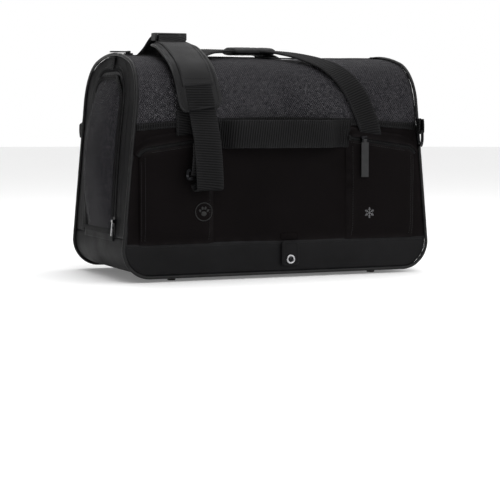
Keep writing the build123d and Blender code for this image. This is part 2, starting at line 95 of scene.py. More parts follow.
LEAN = math.radians(5.35)  # each end leans in towards the roof
BOTTOM_R = 36.0  # corner between bottom and end
CORNER_R = 55.0  # corner between side and roof
CROWN = math.radians(16.0)  # slope of the roof beside that corner
DOOR_CORNER = 48.0
ZIP_BAND = 7.0  # width of a pocket's zip
WEB = 2.5  # thickness of webbing

CORNER_Y = HALF_W - CORNER_R
CROWN_REACH = CORNER_Y + CORNER_R * math.sin(CROWN)
CROWN_R = CROWN_REACH / math.sin(CROWN)
CORNER_Z = HEIGHT - CORNER_R * math.cos(CROWN) - CROWN_REACH * math.tan(CROWN / 2)
S_CORNER = CORNER_Z - BASE_Z
S_CROWN = S_CORNER + CORNER_R * (math.pi / 2 - CROWN)
S_TOP = S_CROWN + CROWN_R * CROWN
FLAT = HALF_L - BOTTOM_R  # half the bottom's flat length


def side_at(s):
    """Near side's outline, s mm up from its bottom edge: y, z and the outward normal's y, z."""
    if s < S_CORNER:
        return -HALF_W, BASE_Z + s, -1.0, 0.0
    if s < S_CROWN:
        a = math.pi / 2 - (s - S_CORNER) / CORNER_R
        return (
            -CORNER_Y - CORNER_R * math.sin(a), CORNER_Z + CORNER_R * math.cos(a), -math.sin(a), math.cos(a)
        )
    a = (S_TOP - s) / CROWN_R
    return -CROWN_R * math.sin(a), HEIGHT - CROWN_R * (1 - math.cos(a)), -math.sin(a), math.cos(a)


def reach(z):
    """Half-length of the bag at a height."""
    middle = BASE_Z + BOTTOM_R
    if z < middle:
        return FLAT + math.sqrt(max(BOTTOM_R**2 - (middle - z) ** 2, 0.0))
    return HALF_L - (z - middle) * math.tan(LEAN)


def smooth_step(value, low, high):
    t = min(1.0, max(0.0, (value - low) / (high - low)))
    return t * t * (3 - 2 * t)


def ripple(point, size, seed=0.0):
    """Smooth noise from -1 to 1 with features of about that size in mm."""
    return noise.noise(Vector(point) / size + Vector((seed, seed * 1.7, seed * 0.6)))


# ---- materials ------------------------------------------------------------------------------
UV = "weave"  # every piece's UV map holds its own surface in millimetres


class Nodes:
    """A material's node tree, with short ways to add what this script uses."""

    def __init__(self, name):
        self.material = bpy.data.materials.new(name)
        self.material.use_nodes = True
        self.tree = self.material.node_tree
        self.shader = self.tree.nodes["Principled BSDF"]
        self.out = self.tree.nodes["Material Output"]

    def add(self, kind, **settings):
        node = self.tree.nodes.new(kind)
        for key, value in settings.items():
            setattr(node, key, value)
        return node

    def link(self, source, target):
        self.tree.links.new(source, target)

    def math(self, operation, a, b=0.0, clamp=False):
        node = self.add("ShaderNodeMath", operation=operation, use_clamp=clamp)
        for value, socket in zip((a, b), node.inputs):
            if isinstance(value, (int, float)):
                socket.default_value = value
            else:
                self.link(value, socket)
        return node.outputs[0]

    def uv(self):
        """The surface's two coordinates, in millimetres."""
        split = self.add("ShaderNodeSeparateXYZ")
        self.link(self.add("ShaderNodeUVMap", uv_map=UV).outputs[0], split.inputs[0])
        return split.outputs[0], split.outputs[1]

    def wave(self, value, period, phase=0.0):
        turn = self.math("MULTIPLY", value, 2 * math.pi / period)
        return self.math("SINE", self.math("ADD", turn, phase))

    def noise(self, scale, detail=3.0, rough=0.55):
        """Noise over the object's own place, scale in features per metre."""
        node = self.add("ShaderNodeTexNoise")
        node.inputs["Scale"].default_value = scale
        node.inputs["Detail"].default_value = detail
        node.inputs["Roughness"].default_value = rough
        self.link(self.add("ShaderNodeTexCoord").outputs["Object"], node.inputs["Vector"])
        return node.outputs[0]

    def ramp(self, value, low, high, first, last):
        """Colours or greys from first to last as value goes from low to high."""
        node = self.add("ShaderNodeValToRGB")
        for stop, place, colour in zip(node.color_ramp.elements, (low, high), (first, last)):
            stop.position = place
            stop.color = (*colour, 1.0) if isinstance(colour, tuple) else (colour, colour, colour, 1.0)
        self.link(value, node.inputs[0])
        return node.outputs[0]

    def mix(self, factor, a, b):
        node = self.add("ShaderNodeMix", data_type="RGBA")
        for value, socket in zip((factor, a, b), (node.inputs[0], node.inputs[6], node.inputs[7])):
            if isinstance(value, (int, float)):
                socket.default_value = value
            elif isinstance(value, tuple):
                socket.default_value = (*value, 1.0)
            else:
                self.link(value, socket)
        return node.outputs[2]

    def worn(self, colour, worn_colour, spread=0.6):
        """colour, paler where a piece's edges rub, patchy, and slightly uneven all over."""
        rub = self.add("ShaderNodeAttribute", attribute_name="wear").outputs["Fac"]
        patch = self.ramp(self.noise(60.0), 0.35, 0.7, 0.25, 1.0)
        amount = self.math("MULTIPLY", self.math("MULTIPLY", rub, patch), spread, clamp=True)
        tone = self.ramp(self.noise(9.0, 2.0), 0.3, 0.75, 0.82, 1.15)
        base = self.add("ShaderNodeMix", data_type="RGBA", blend_type="MULTIPLY")
        base.inputs[0].default_value = 1.0
        if isinstance(colour, tuple):
            base.inputs[6].default_value = (*colour, 1.0)
        else:
            self.link(colour, base.inputs[6])
        self.link(tone, base.inputs[7])
        return self.mix(amount, base.outputs[2], worn_colour)

    def finish(self, colour, rough, height=None, bump_mm=0.1, sheen=0.0, specular=0.5, metallic=0.0):
        if isinstance(colour, tuple):
            self.shader.inputs["Base Color"].default_value = (*colour, 1.0)
        else:
            self.link(colour, self.shader.inputs["Base Color"])
        if isinstance(rough, (int, float)):
            self.shader.inputs["Roughness"].default_value = rough
        else:
            self.link(rough, self.shader.inputs["Roughness"])
        self.shader.inputs["Specular IOR Level"].default_value = specular
        self.shader.inputs["Metallic"].default_value = metallic
        self.shader.inputs["Sheen Weight"].default_value = sheen
        self.shader.inputs["Sheen Roughness"].default_value = 0.45
        if height is not None:
            bump = self.add("ShaderNodeBump")
            bump.inputs["Strength"].default_value = 1.0
            bump.inputs["Distance"].default_value = bump_mm * MM
            self.link(height, bump.inputs["Height"])
            self.link(bump.outputs[0], self.shader.inputs["Normal"])
        return self.material


def plain_weave(nodes, pitch):
    """Height of a plain weave: threads that pass over and under each other."""
    u, v = nodes.uv()
    over = nodes.math("MULTIPLY", nodes.wave(u, 2 * pitch), nodes.wave(v, 2 * pitch))
    return nodes.math("ADD", nodes.math("MULTIPLY", over, 0.5), 0.5)


def pocket_fabric():
    """Matte woven polyester."""
    n = Nodes("pocket_fabric")
    weave = plain_weave(n, 0.9)
    fuzz = n.noise(900.0, 2.0)
    tone = n.mix(weave, (0.0016, 0.0011, 0.0012), (0.0056, 0.0044, 0.0046))
    colour = n.worn(tone, (0.016, 0.014, 0.0145))
    height = n.math("ADD", weave, n.math("MULTIPLY", fuzz, 0.5))
    return n.finish(colour, n.ramp(fuzz, 0.3, 0.7, 0.75, 0.9), height, 0.12, specular=0.045)


def coated_fabric():
    """Smooth polyurethane-coated cloth with a fine grain."""
    n = Nodes("coated_fabric")
    grain = n.noise(1400.0, 3.0, 0.6)
    scuffs = n.noise(35.0, 5.0, 0.7)
    tone = n.ramp(scuffs, 0.3, 0.75, (0.0042, 0.0041, 0.0045), (0.0072, 0.0070, 0.0076))
    colour = n.worn(tone, (0.022, 0.022, 0.023))
    height = n.math("ADD", grain, n.math("MULTIPLY", plain_weave(n, 0.8), 0.25))
    return n.finish(colour, n.ramp(scuffs, 0.3, 0.8, 0.5, 0.66), height, 0.06, specular=0.085)


def mesh_fabric():
    """Knitted mesh: small holes in staggered rows, seen through, some knitted tighter than others."""
    n = Nodes("mesh_fabric")
    u, v = n.uv()
    across = n.wave(u, MESH_PITCH, math.pi / 2)
    along = n.wave(v, MESH_PITCH * 1.5, math.pi / 2)
    cell = n.math("MULTIPLY", across, along)
    uneven = n.math("MULTIPLY", n.math("SUBTRACT", n.noise(240.0, 2.0), 0.5), 1.1)
    hole = n.ramp(n.math("ADD", cell, uneven), MESH_HOLE, MESH_HOLE + 0.5, 0.0, MESH_CLEAR)
    yarn = n.ramp(n.noise(300.0, 3.0), 0.3, 0.7, (0.014, 0.014, 0.0165), (0.042, 0.040, 0.044))
    colour = n.worn(yarn, (0.07, 0.07, 0.07), 0.4)
    n.finish(colour, 0.7, n.math("SUBTRACT", 1.0, n.math("ABSOLUTE", cell)), 0.35, specular=0.08)
    clear = n.add("ShaderNodeBsdfTransparent")
    both = n.add("ShaderNodeMixShader")
    n.link(hole, both.inputs[0])
    n.link(n.shader.outputs[0], both.inputs[1])
    n.link(clear.outputs[0], both.inputs[2])
    n.link(both.outputs[0], n.out.inputs[0])
    return n.material


MESH_PITCH = 3.0
MESH_HOLE = 0.0  # where a cell's middle gives way to its hole
MESH_CLEAR = 0.55  # how clear a hole is, with fine threads across it


def webbing():
    """Nylon webbing: ribs across, a twill of fine threads along, smoother selvages."""
    n = Nodes("webbing")
    u, v = n.uv()
    ribs = n.wave(n.math("ADD", v, n.math("MULTIPLY", u, 0.12)), 3.4)
    twill = n.wave(n.math("ADD", u, v), 1.5)
    height = n.math("ADD", n.math("MULTIPLY", ribs, 0.75), n.math("MULTIPLY", twill, 0.25))
    share = n.math("ADD", n.math("MULTIPLY", height, 0.4), 0.5)
    tone = n.ramp(share, 0.15, 0.85, (0.0018, 0.0018, 0.0020), (0.0125, 0.0123, 0.0128))
    colour = n.worn(tone, (0.026, 0.026, 0.027))
    return n.finish(colour, 0.62, height, 0.5, specular=0.07)


def pad_fabric():
    """Satin-smooth cover of the shoulder pad and handle wrap."""
    n = Nodes("pad_fabric")
    weave = plain_weave(n, 0.8)
    tone = n.mix(weave, (0.0050, 0.0049, 0.0053), (0.0105, 0.0103, 0.0110))
    colour = n.worn(tone, (0.028, 0.028, 0.029))
    return n.finish(colour, n.ramp(n.noise(40.0), 0.3, 0.7, 0.48, 0.6), weave, 0.08, specular=0.14)


def piping():
    """Bias-cut coated cloth round a cord."""
    n = Nodes("piping")
    u, v = n.uv()
    twist = n.wave(n.math("ADD", u, v), 1.4)
    colour = n.worn((0.0035, 0.0035, 0.0038), (0.030, 0.030, 0.031), 0.5)
    return n.finish(colour, n.ramp(n.noise(70.0), 0.3, 0.7, 0.32, 0.5), twist, 0.07, specular=0.2)


def zip_coil():
    """Nylon coil and its tape."""
    n = Nodes("zip_coil")
    weave = plain_weave(n, 0.6)
    colour = n.worn(n.mix(weave, (0.004, 0.004, 0.0045), (0.0085, 0.0085, 0.009)), (0.03, 0.03, 0.03))
    return n.finish(colour, n.ramp(n.noise(200.0), 0.3, 0.7, 0.4, 0.55), weave, 0.05, specular=0.12)


def thread():
    """Bonded nylon thread."""
    n = Nodes("thread")
    u, v = n.uv()
    tone = n.ramp(n.noise(500.0), 0.3, 0.7, (0.009, 0.009, 0.0095), (0.020, 0.020, 0.021))
    colour = n.worn(tone, (0.04, 0.04, 0.04))
    return n.finish(colour, 0.5, n.wave(n.math("ADD", u, v), 0.5), 0.05, specular=0.12)


def metal(name, colour, worn_colour, rough, specular=0.5, metallic=1.0):
    """Cast and plated zinc, rubbed in patches."""
    n = Nodes(name)
    patch = n.noise(160.0, 5.0, 0.65)
    tone = n.ramp(patch, 0.52, 0.72, colour, worn_colour)
    fine = n.noise(2500.0, 2.0)
    return n.finish(
        tone, n.ramp(patch, 0.3, 0.8, rough, rough + 0.16), fine, 0.02, specular=specular, metallic=metallic
    )


def hard_plastic():
    """Moulded nylon with a spark-eroded grain."""
    n = Nodes("hard_plastic")
    grain = n.noise(1800.0, 3.0)
    colour = n.ramp(n.noise(90.0), 0.35, 0.75, (0.006, 0.006, 0.0065), (0.013, 0.013, 0.014))
    return n.finish(colour, n.ramp(grain, 0.3, 0.7, 0.38, 0.55), grain, 0.05, specular=0.3)


def rubber_foot():
    n = Nodes("rubber_foot")
    grain = n.noise(1200.0, 4.0)
    colour = n.ramp(n.noise(220.0), 0.4, 0.8, (0.012, 0.012, 0.012), (0.05, 0.048, 0.045))
    return n.finish(colour, 0.8, grain, 0.08, specular=0.3)


def board():
    """Polypropylene sheet with a fine leather grain."""
    n = Nodes("board")
    grain = n.noise(700.0, 4.0)
    colour = n.ramp(n.noise(30.0), 0.3, 0.8, (0.018, 0.018, 0.019), (0.032, 0.032, 0.034))
    return n.finish(colour, 0.55, grain, 0.1)


def fleece():
    """Curly pile of the mat."""
    n = Nodes("fleece")
    curls = n.noise(420.0, 5.0, 0.7)
    tone = n.ramp(curls, 0.3, 0.75, (0.10, 0.10, 0.105), (0.32, 0.32, 0.33))
    return n.finish(n.worn(tone, (0.4, 0.4, 0.4), 0.2), 0.95, curls, 1.2, sheen=0.4, specular=0.2)


def print_ink():
    """Rubberised print, a little paler than the cloth."""
    n = Nodes("print_ink")
    grain = n.noise(1500.0, 2.0)
    colour = n.ramp(n.noise(150.0), 0.3, 0.7, (0.055, 0.055, 0.058), (0.095, 0.095, 0.10))
    return n.finish(colour, 0.55, grain, 0.03)


def emblem_rubber():
    """Low gloss rubber of the raised emblem."""
    n = Nodes("emblem_rubber")
    grain = n.noise(1500.0, 2.0)
    colour = n.ramp(n.noise(120.0), 0.3, 0.7, (0.0025, 0.0025, 0.0025), (0.006, 0.006, 0.006))
    return n.finish(colour, 0.42, grain, 0.03, specular=0.3)


MATERIALS = {
    "pocket_fabric": pocket_fabric(),
    "coated_fabric": coated_fabric(),
    "mesh_fabric": mesh_fabric(),
    "webbing": webbing(),
    "pad_fabric": pad_fabric(),
    "piping": piping(),
    "zip_coil": zip_coil(),
    "thread": thread(),
    "black_metal": metal("black_metal", (0.010, 0.010, 0.011), (0.07, 0.07, 0.074), 0.34, 0.3),
    "silver_metal": metal("silver_metal", (0.40, 0.40, 0.41), (0.62, 0.62, 0.63), 0.22),
    "spring_steel": metal("spring_steel", (0.20, 0.20, 0.21), (0.32, 0.32, 0.33), 0.35),
    "hard_plastic": hard_plastic(),
    "rubber_foot": rubber_foot(),
    "board": board(),
    "fleece": fleece(),
    "print_ink": print_ink(),
    "emblem_rubber": emblem_rubber(),
}

# ---- mesh making ----------------------------------------------------------------------------
def as_mesh(parts):
    """Joins parts, each (vertices, faces, uvs, wears), into one."""
    verts, faces, uvs, wears = [], [], [], []
    for part in parts:
        start = len(verts)
        verts.extend(part[0])
        faces.extend([tuple(i + start for i in face) for face in part[1]])
        uvs.extend(part[2])
        wears.extend(part[3])
    return verts, faces, uvs, wears


def add_piece(name, parts, look, body=None, stands_for=()):
    """One object of the visual model, from parts in the bag's millimetres."""
    verts, faces, uvs, wears = as_mesh(parts)
    mesh = bpy.data.meshes.new(name)
    places = [(x * MM, y * MM + MID_Y, z * MM) for x, y, z in verts]
    mesh.from_pydata(places, [], faces)
    shell = bmesh.new()
    shell.from_mesh(mesh)
    bmesh.ops.recalc_face_normals(shell, faces=shell.faces)
    shell.to_mesh(mesh)
    shell.free()
    corner = np.zeros(len(mesh.loops), np.int32)
    mesh.loops.foreach_get("vertex_index", corner)
    layer = mesh.uv_layers.new(name=UV)
    layer.data.foreach_set("uv", np.array(uvs, np.float32)[corner].ravel())
    mesh.attributes.new("wear", "FLOAT", "POINT").data.foreach_set("value", np.array(wears, np.float32))
    mesh.shade_smooth()
    piece = bpy.data.objects.new(name, mesh)
    bpy.context.scene.collection.objects.link(piece)
    piece.data.materials.append(MATERIALS[look])
    if body:
        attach(piece, body)
    if stands_for:
        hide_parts(*stands_for)
    return piece


def knots(length, step, rim=(0.0, 1.0, 2.4, 4.2)):
    """Places from 0 to 1 along a panel: close together beside its two edges, step apart between."""
    count = max(2, round((length - 2 * rim[-1]) / step) + 1)
    inner = np.linspace(rim[-1], length - rim[-1], count)
    places = [*rim[:-1], *inner, *[length - r for r in reversed(rim[:-1])]]
    return [float(p / length) for p in places]


def skin(place, us, vs, thick):
    """A closed skin; place(u, v) gives its outer point, outward normal, (uv in mm) and wear."""
    outer, inner, uvs, wears = [], [], [], []
    for v in vs:
        for u in us:
            point, normal, uv, wear = place(u, v)
            outer.append(Vector(point))
            inner.append(Vector(point) - Vector(normal) * thick)
            uvs.append(uv)
            wears.append(wear)
    wide, tall, count = len(us), len(vs), len(outer)
    faces = []
    for j in range(tall - 1):
        for i in range(wide - 1):
            a = j * wide + i
            faces.append((a, a + 1, a + wide + 1, a + wide))
            faces.append((a + count, a + wide + count, a + wide + 1 + count, a + 1 + count))
    rim = [*range(wide), *range(2 * wide - 1, count, wide)]
    rim += [*range(count - 2, count - wide - 1, -1), *range(count - 2 * wide, 0, -wide)]
    for a, b in zip(rim, rim[1:] + rim[:1]):
        faces.append((a, a + count, b + count, b))
    return outer + inner, faces, uvs + uvs, wears + wears


def seam_edge(near, depth=1.4, width=4.0):
    """How far a skin dives beside a seam that is near mm away."""
    return -depth * max(0.0, 1 - near / width) ** 2


def puckers(point, near, size=4.5, depth=0.45):
    """Little gathers that a line of stitching pulls into cloth."""
    return depth * math.exp(-near / 7.0) * ripple(point, size)


def route_through(points, step=3.0, closed=False):
    """A smooth curve through the points, as points step apart and each one's place along the list."""
    points = [Vector(p) for p in points]
    count = len(points)
    out, places = [], []
    for i in range(count if closed else count - 1):
        if closed:
            a, b, c, d = (points[(i + k) % count] for k in (-1, 0, 1, 2))
        else:
            b, c = points[i], points[i + 1]
            a = points[i - 1] if i else b * 2 - c
            d = points[i + 2] if i + 2 < count else c * 2 - b
        parts = max(1, round((c - b).length / step))
        for k in range(parts):
            t = k / parts
            out.append(
                0.5
                * (2 * b + (c - a) * t + (2 * a - 5 * b + 4 * c - d) * t * t + (3 * b - a - 3 * c + d) * t**3)
            )
            places.append(i + t)
    if not closed:
        out.append(points[-1])
        places.append(count - 1)
    return out, places


def lengths_along(points):
    total, out = 0.0, [0.0]
    for a, b in zip(points, points[1:]):
        total += (b - a).length
        out.append(total)
    return out


def tangents_of(points, closed=False):
    count = len(points)
    out = []
    for i in range(count):
        ahead = points[(i + 1) % count] if closed else points[min(i + 1, count - 1)]
        behind = points[i - 1] if closed else points[max(i - 1, 0)]
        out.append((ahead - behind).normalized())
    return out


def loft(sections, uvs, wears, closed_path=False):
    """Faces round a row of closed sections, capped at both ends unless the path is closed."""
    around, count = len(sections[0]), len(sections)
    verts = [p for section in sections for p in section]
    faces = []
    for j in range(count if closed_path else count - 1):
        for i in range(around):
            a, b = j * around + i, j * around + (i + 1) % around
            c, d = ((j + 1) % count) * around + (i + 1) % around, ((j + 1) % count) * around + i
            faces.append((a, b, c, d))
    if not closed_path:
        faces.append(tuple(range(around)))
        faces.append(tuple(range((count - 1) * around, count * around)))
    return verts, faces, uvs, wears


WEB_EDGES = [(-1.0, 0.3), (-0.975, 0.8), (-0.9, 1.0), (-0.45, 1.0), (0.0, 1.0), (0.45, 1.0), (0.9, 1.0)]
WEB_EDGES += [(0.975, 0.8), (1.0, 0.3)]  # share of the half-width, and share of the thickness there


def ribbon(points, normals, width, thick, profile=WEB_EDGES, ripple_mm=0.25):
    """Webbing or cloth of a real thickness along a curve, with soft selvages."""
    widths = width if isinstance(width, list) else [width] * len(points)
    runs, ways = lengths_along(points), tangents_of(points)
    sections, uvs, wears = [], [], []
    for point, normal, way, wide, run in zip(points, normals, ways, widths, runs):
        across = way.cross(Vector(normal)).normalized()
        out = across.cross(way).normalized()
        top, bottom = [], []
        for share, full in profile:
            wave = ripple_mm * ripple(point + across * share * wide / 2, 14.0, 3.0)
            middle = point + across * (share * wide / 2) + out * wave
            top.append((middle + out * (thick / 2 * full), share * wide / 2))
            bottom.append((middle - out * (thick / 2 * full), share * wide / 2))
        loop = top + bottom[::-1]
        sections.append([p for p, _ in loop])
        uvs += [(u, run) for _, u in loop]
        wears += [max(0.0, abs(u) / (wide / 2) - 0.86) / 0.14 for _, u in loop]
    return loft(sections, uvs, wears)


def tube(points, radius, sides=10, closed=False, wear=0.3):
    """A round tube along a curve."""
    ways = tangents_of(points, closed)
    runs = lengths_along(points)
    side = ways[0].orthogonal().normalized()
    sections, uvs = [], []
    frames = []
    for way in ways:
        side = (side - way * side.dot(way)).normalized()
        frames.append((side.copy(), way.cross(side)))
    twist = 0.0
    if closed:
        first, last = frames[0], frames[-1]
        twist = math.atan2(last[0].dot(first[1]), last[0].dot(first[0]))
    for i, (point, (a, b)) in enumerate(zip(points, frames)):
        size = radius[i] if isinstance(radius, list) else radius
        shift = -twist * i / len(points)
        ring = []
        for k in range(sides):
            angle = 2 * math.pi * k / sides + shift
            ring.append(point + a * (math.cos(angle) * size) + b * (math.sin(angle) * size))
            uvs.append((2 * math.pi * size * k / sides, runs[i]))
        sections.append(ring)
    return loft(sections, uvs, [wear] * len(uvs), closed)


STITCH = 2.3  # length of one stitch
STITCH_PITCH = 3.3
THREAD_R = 0.34


def stitches(points, normals, lift=0.12):
    """A row of stitches lying on a surface along a curve."""
    runs = lengths_along(points)
    verts, faces, uvs, wears = [], [], [], []
    at, i = STITCH_PITCH / 2, 0
    while at < runs[-1] - STITCH / 2:
        while runs[i + 1] < at:
            i += 1
        share = (at - runs[i]) / max(runs[i + 1] - runs[i], 1e-9)
        centre = points[i].lerp(points[i + 1], share)
        way = (points[i + 1] - points[i]).normalized()
        up = Vector(normals[i])
        up = (up - way * up.dot(way)).normalized()
        side = way.cross(up)
        centre = centre + up * lift
        start = len(verts)
        verts.append(centre - way * (STITCH / 2) - up * THREAD_R)
        for along in (-0.32, 0.32):
            for k in range(5):
                angle = 2 * math.pi * k / 5
                round_thread = side * math.cos(angle) + up * math.sin(angle)
                verts.append(centre + way * (along * STITCH) + round_thread * THREAD_R)
        verts.append(centre + way * (STITCH / 2) - up * THREAD_R)
        for k in range(5):
            nxt = (k + 1) % 5
            faces.append((start, start + 1 + nxt, start + 1 + k))
            faces.append((start + 1 + k, start + 1 + nxt, start + 6 + nxt, start + 6 + k))
            faces.append((start + 11, start + 6 + k, start + 6 + nxt))
        uvs += [(0.0, at)] * 12
        wears += [0.4] * 12
        at += STITCH_PITCH
    return verts, faces, uvs, wears


TOOTH_PITCH = 1.7
TOOTH_R = 0.62


def coil(points, normals, inwards, wide=2.5, phase=0.0, lift=0.2):
    """Half of a zip's coil: one loop of monofilament after another along a tape's edge.

    inwards is +1 or -1, the side of the curve that the loops reach over.
    """
    runs = lengths_along(points)
    parts = []
    at, i = TOOTH_PITCH * (0.5 + phase), 0
    while at < runs[-1]:
        while runs[i + 1] < at:
            i += 1
        share = (at - runs[i]) / max(runs[i + 1] - runs[i], 1e-9)
        centre = points[i].lerp(points[i + 1], share)
        way = (points[i + 1] - points[i]).normalized()
        up = Vector(normals[i])
        side = way.cross(up).normalized() * inwards
        path = [
            centre - side * (wide * 0.5) + up * (lift - 0.2),
            centre - side * (wide * 0.2) + up * (lift + 0.5),
            centre + side * (wide * 0.35) + up * (lift + 0.5),
            centre + side * (wide * 0.5) + up * (lift - 0.2),
        ]
        parts.append(tube(path, TOOTH_R, sides=5))
        at += TOOTH_PITCH
    return as_mesh(parts)


# ---- the long sides and the roof -------------------------------------------------------------
SKIN = 1.6  # thickness of the foam-backed cloth
MESH_SKIN = 0.9
ROOF_TAPE = 4.0  # the zip's half-width along the crest


def mesh_line(x):
    """Height of the mesh's arched lower edge."""
    return MESH_HIGH - (MESH_HIGH - MESH_LOW) * (x / HALF_L) ** 2


def on_side(side, x, s, out=0.0):
    """Point and normal on a long side: side is -1 near and 1 far, s mm up from the bottom edge."""
    y, z, ny, nz = side_at(s)
    normal = Vector((0, -side * ny, nz))
    return Vector((x, -side * y, z)) + normal * out, normal


def side_skin(side, s_low, s_high, relief, thick, step=7.0, seams=(True, True)):
    """A skin on a long side, between two heights that may vary along it, out to the piped seams."""
    us = knots(2 * HALF_L, step)
    vs = knots(s_high(0.0) - s_low(0.0), step)

    def place(u, v):
        x = (2 * u - 1) * HALF_L
        low, high = s_low(x), s_high(x)
        s = low + (high - low) * v
        half = reach(side_at(s)[1])
        x = (2 * u - 1) * half
        from_end = half - abs(x)
        from_low = (s - low) if seams[0] else 99.0
        from_high = (high - s) if seams[1] else 99.0
        close = min(from_end, from_low, from_high)
        flat_point = (x, side * 50.0, s)
        out = seam_edge(close) + puckers(flat_point, close) + relief(x, s)
        point, normal = on_side(side, x, s, out)
        turned = (x, s) if side < 0 else (0.86 * x + 0.31 * s, 0.86 * s - 0.31 * x)
        return point, normal, turned, math.exp(-close / 2.5)

    return skin(place, us, vs, thick)


def rows_on_side(side, height, inset, out, step=4.0, from_x=None, to_x=None):
    """Points and normals along a long side at s = height(x), for stitching."""
    points, normals = [], []
    low = -reach(side_at(height(0.0))[1]) + inset if from_x is None else from_x
    high = -low if to_x is None else to_x
    for k in range(int((high - low) / step) + 1):
        x = low + k * step
        point, normal = on_side(side, x, height(x), out)
        points.append(point)
        normals.append(normal)
    return points, normals


def band_relief(x, s):
    return 0.5 + 0.9 * ripple((x, 0, s), 45.0, 1.0) * smooth_step(s, 0, 20)


def panel_relief(x, s):
    slack = 1.3 * ripple((x, 0, s), 60.0, 2.0) + 0.5 * ripple((x, 0, s), 22.0, 5.0)
    return 0.3 + slack


def mesh_relief(x, s):
    """The mesh hangs a little slack between the two hoops."""
    span = 1 - (x / HALF_L) ** 2
    slack = 1.2 * ripple((x, 0, s), 75.0, 4.0) + 0.5 * ripple((x, 0, s), 26.0, 6.0)
    return -1.6 * span * smooth_step(s, S_CORNER - 30, S_CROWN) + slack * min(1.0, 2.5 * span)


def long_sides():
    for side, word in ((-1, "near"), (1, "far")):
        def band_top(x):
            return BAND_TOP - BASE_Z

        def line(x):
            return mesh_line(x) - BASE_Z

        band = side_skin(side, lambda x: 0.0, lambda x: band_top(x) + 1.5, band_relief, SKIN)
        add_piece(f"base_band_{word}", [band], "coated_fabric", "bag", stands_for=[f"side_band_{word}"])
        panel = side_skin(side, band_top, line, panel_relief, SKIN)
        add_piece(f"lower_panel_{word}", [panel], "pocket_fabric", "bag", stands_for=[f"side_panel_{word}"])
        mesh = side_skin(side, line, lambda x: S_TOP - ROOF_TAPE, mesh_relief, MESH_SKIN, step=8.0)
        add_piece(f"roof_mesh_{word}", [mesh], "mesh_fabric", "bag", stands_for=[f"mesh_{word}"])
        binding_points, binding_normals = rows_on_side(side, lambda x: line(x) + 0.5, 2.0, 0.9)
        binding = ribbon(binding_points, binding_normals, 9.0, 1.6)
        add_piece(f"mesh_binding_{word}", [binding], "webbing", "bag")
        rows = [
            stitches(*rows_on_side(side, lambda x: band_top(x) - 3.0, 4.0, 0.9)),
            stitches(*rows_on_side(side, lambda x: line(x) - 2.0, 4.0, 1.7)),
            stitches(*rows_on_side(side, lambda x: line(x) + 3.2, 4.0, 1.7)),
        ]
        add_piece(f"side_stitching_{word}", rows, "thread", "bag")


# ---- bottom and ends -------------------------------------------------------------------------
END_BULGE = 6.0
DOOR_BULGE = 18.0


def bulge(y, z):
    """How far an end stands out of its flat plane: the whole of it a little, the door's mesh more."""
    def arch(low, high, power):
        share = min(1.0, max(0.0, (z - low) / (high - low)))
        return math.sin(math.pi * share) ** power

    whole = END_BULGE * (1 - min(1.0, abs(y) / HALF_W) ** 2) * arch(END_BAND_TOP, DOOR_TOP + 12, 1.0)
    inner = max(0.0, 1 - (y / (DOOR_HALF - 13)) ** 4)
    return whole + DOOR_BULGE * inner * arch(END_BAND_TOP + 6, DOOR_TOP - 12, 0.6)


def on_end(end, y, z, out=0.0):
    """Point and outward normal on an end: end is -1 left and 1 right."""
    normal = Vector((end * math.cos(LEAN), 0, math.sin(LEAN)))
    return Vector((end * reach(z), y, z)) + normal * (bulge(y, z) + out), normal


def under_at(t):
    """Outline of the bottom strip, t mm from the bottom's middle: x, z and the outward normal's x, z."""
    way = 1 if t >= 0 else -1
    t = abs(t)
    if t < FLAT:
        return way * t, BASE_Z, 0.0, -1.0
    angle = (t - FLAT) / BOTTOM_R
    turned = math.pi / 2 + LEAN
    if angle < turned:
        x, z = FLAT + BOTTOM_R * math.sin(angle), BASE_Z + BOTTOM_R * (1 - math.cos(angle))
        return way * x, z, way * math.sin(angle), -math.cos(angle)
    up = t - FLAT - BOTTOM_R * turned
    x = FLAT + BOTTOM_R * math.cos(LEAN) - up * math.sin(LEAN)
    z = BASE_Z + BOTTOM_R * (1 + math.sin(LEAN)) + up * math.cos(LEAN)
    return way * x, z, way * math.cos(LEAN), math.sin(LEAN)


UNDER_HALF = FLAT + BOTTOM_R * (math.pi / 2 + LEAN)
UNDER_HALF += (END_BAND_TOP - BASE_Z - BOTTOM_R * (1 + math.sin(LEAN))) / math.cos(LEAN)


def under_skin():
    """One strip of coated cloth: the bottom, and the base band of both ends."""
    def place(u, v):
        t, y = (2 * u - 1) * UNDER_HALF, (2 * v - 1) * HALF_W
        x, z, nx, nz = under_at(t)
        close = min(UNDER_HALF - abs(t), HALF_W - abs(y))
        out = seam_edge(close) + puckers((t, y, 0), close)
        if abs(t) > FLAT + 20:
            out += 0.8 * ripple((x, y, z), 40.0, 8.0)
        else:
            out -= 0.4
        point = Vector((x, y, z)) + Vector((nx, 0, nz)) * out
        return point, (nx, 0, nz), (t, y), math.exp(-close / 2.5)

    return skin(place, knots(2 * UNDER_HALF, 9.0), knots(2 * HALF_W, 9.0), SKIN)


def side_share(t):
    """An end's outer outline from its foot (0) over the crest (0.5) to the other foot (1): y, z."""
    low, corner = END_BAND_TOP - BASE_Z, S_CORNER
    half = min(t, 1 - t) * 2
    if half < LEG_SHARE:
        s = low + (corner - low) * half / LEG_SHARE
    elif half < ARC_SHARE:
        s = corner + (S_CROWN - corner) * (half - LEG_SHARE) / (ARC_SHARE - LEG_SHARE)
    else:
        s = S_CROWN + (S_TOP - S_CROWN) * (half - ARC_SHARE) / (1 - ARC_SHARE)
    y, z = side_at(s)[:2]
    return (y if t <= 0.5 else -y), z


LEG_SHARE, ARC_SHARE = 0.58, 0.86  # how much of half an outline is its leg, and its leg and corner


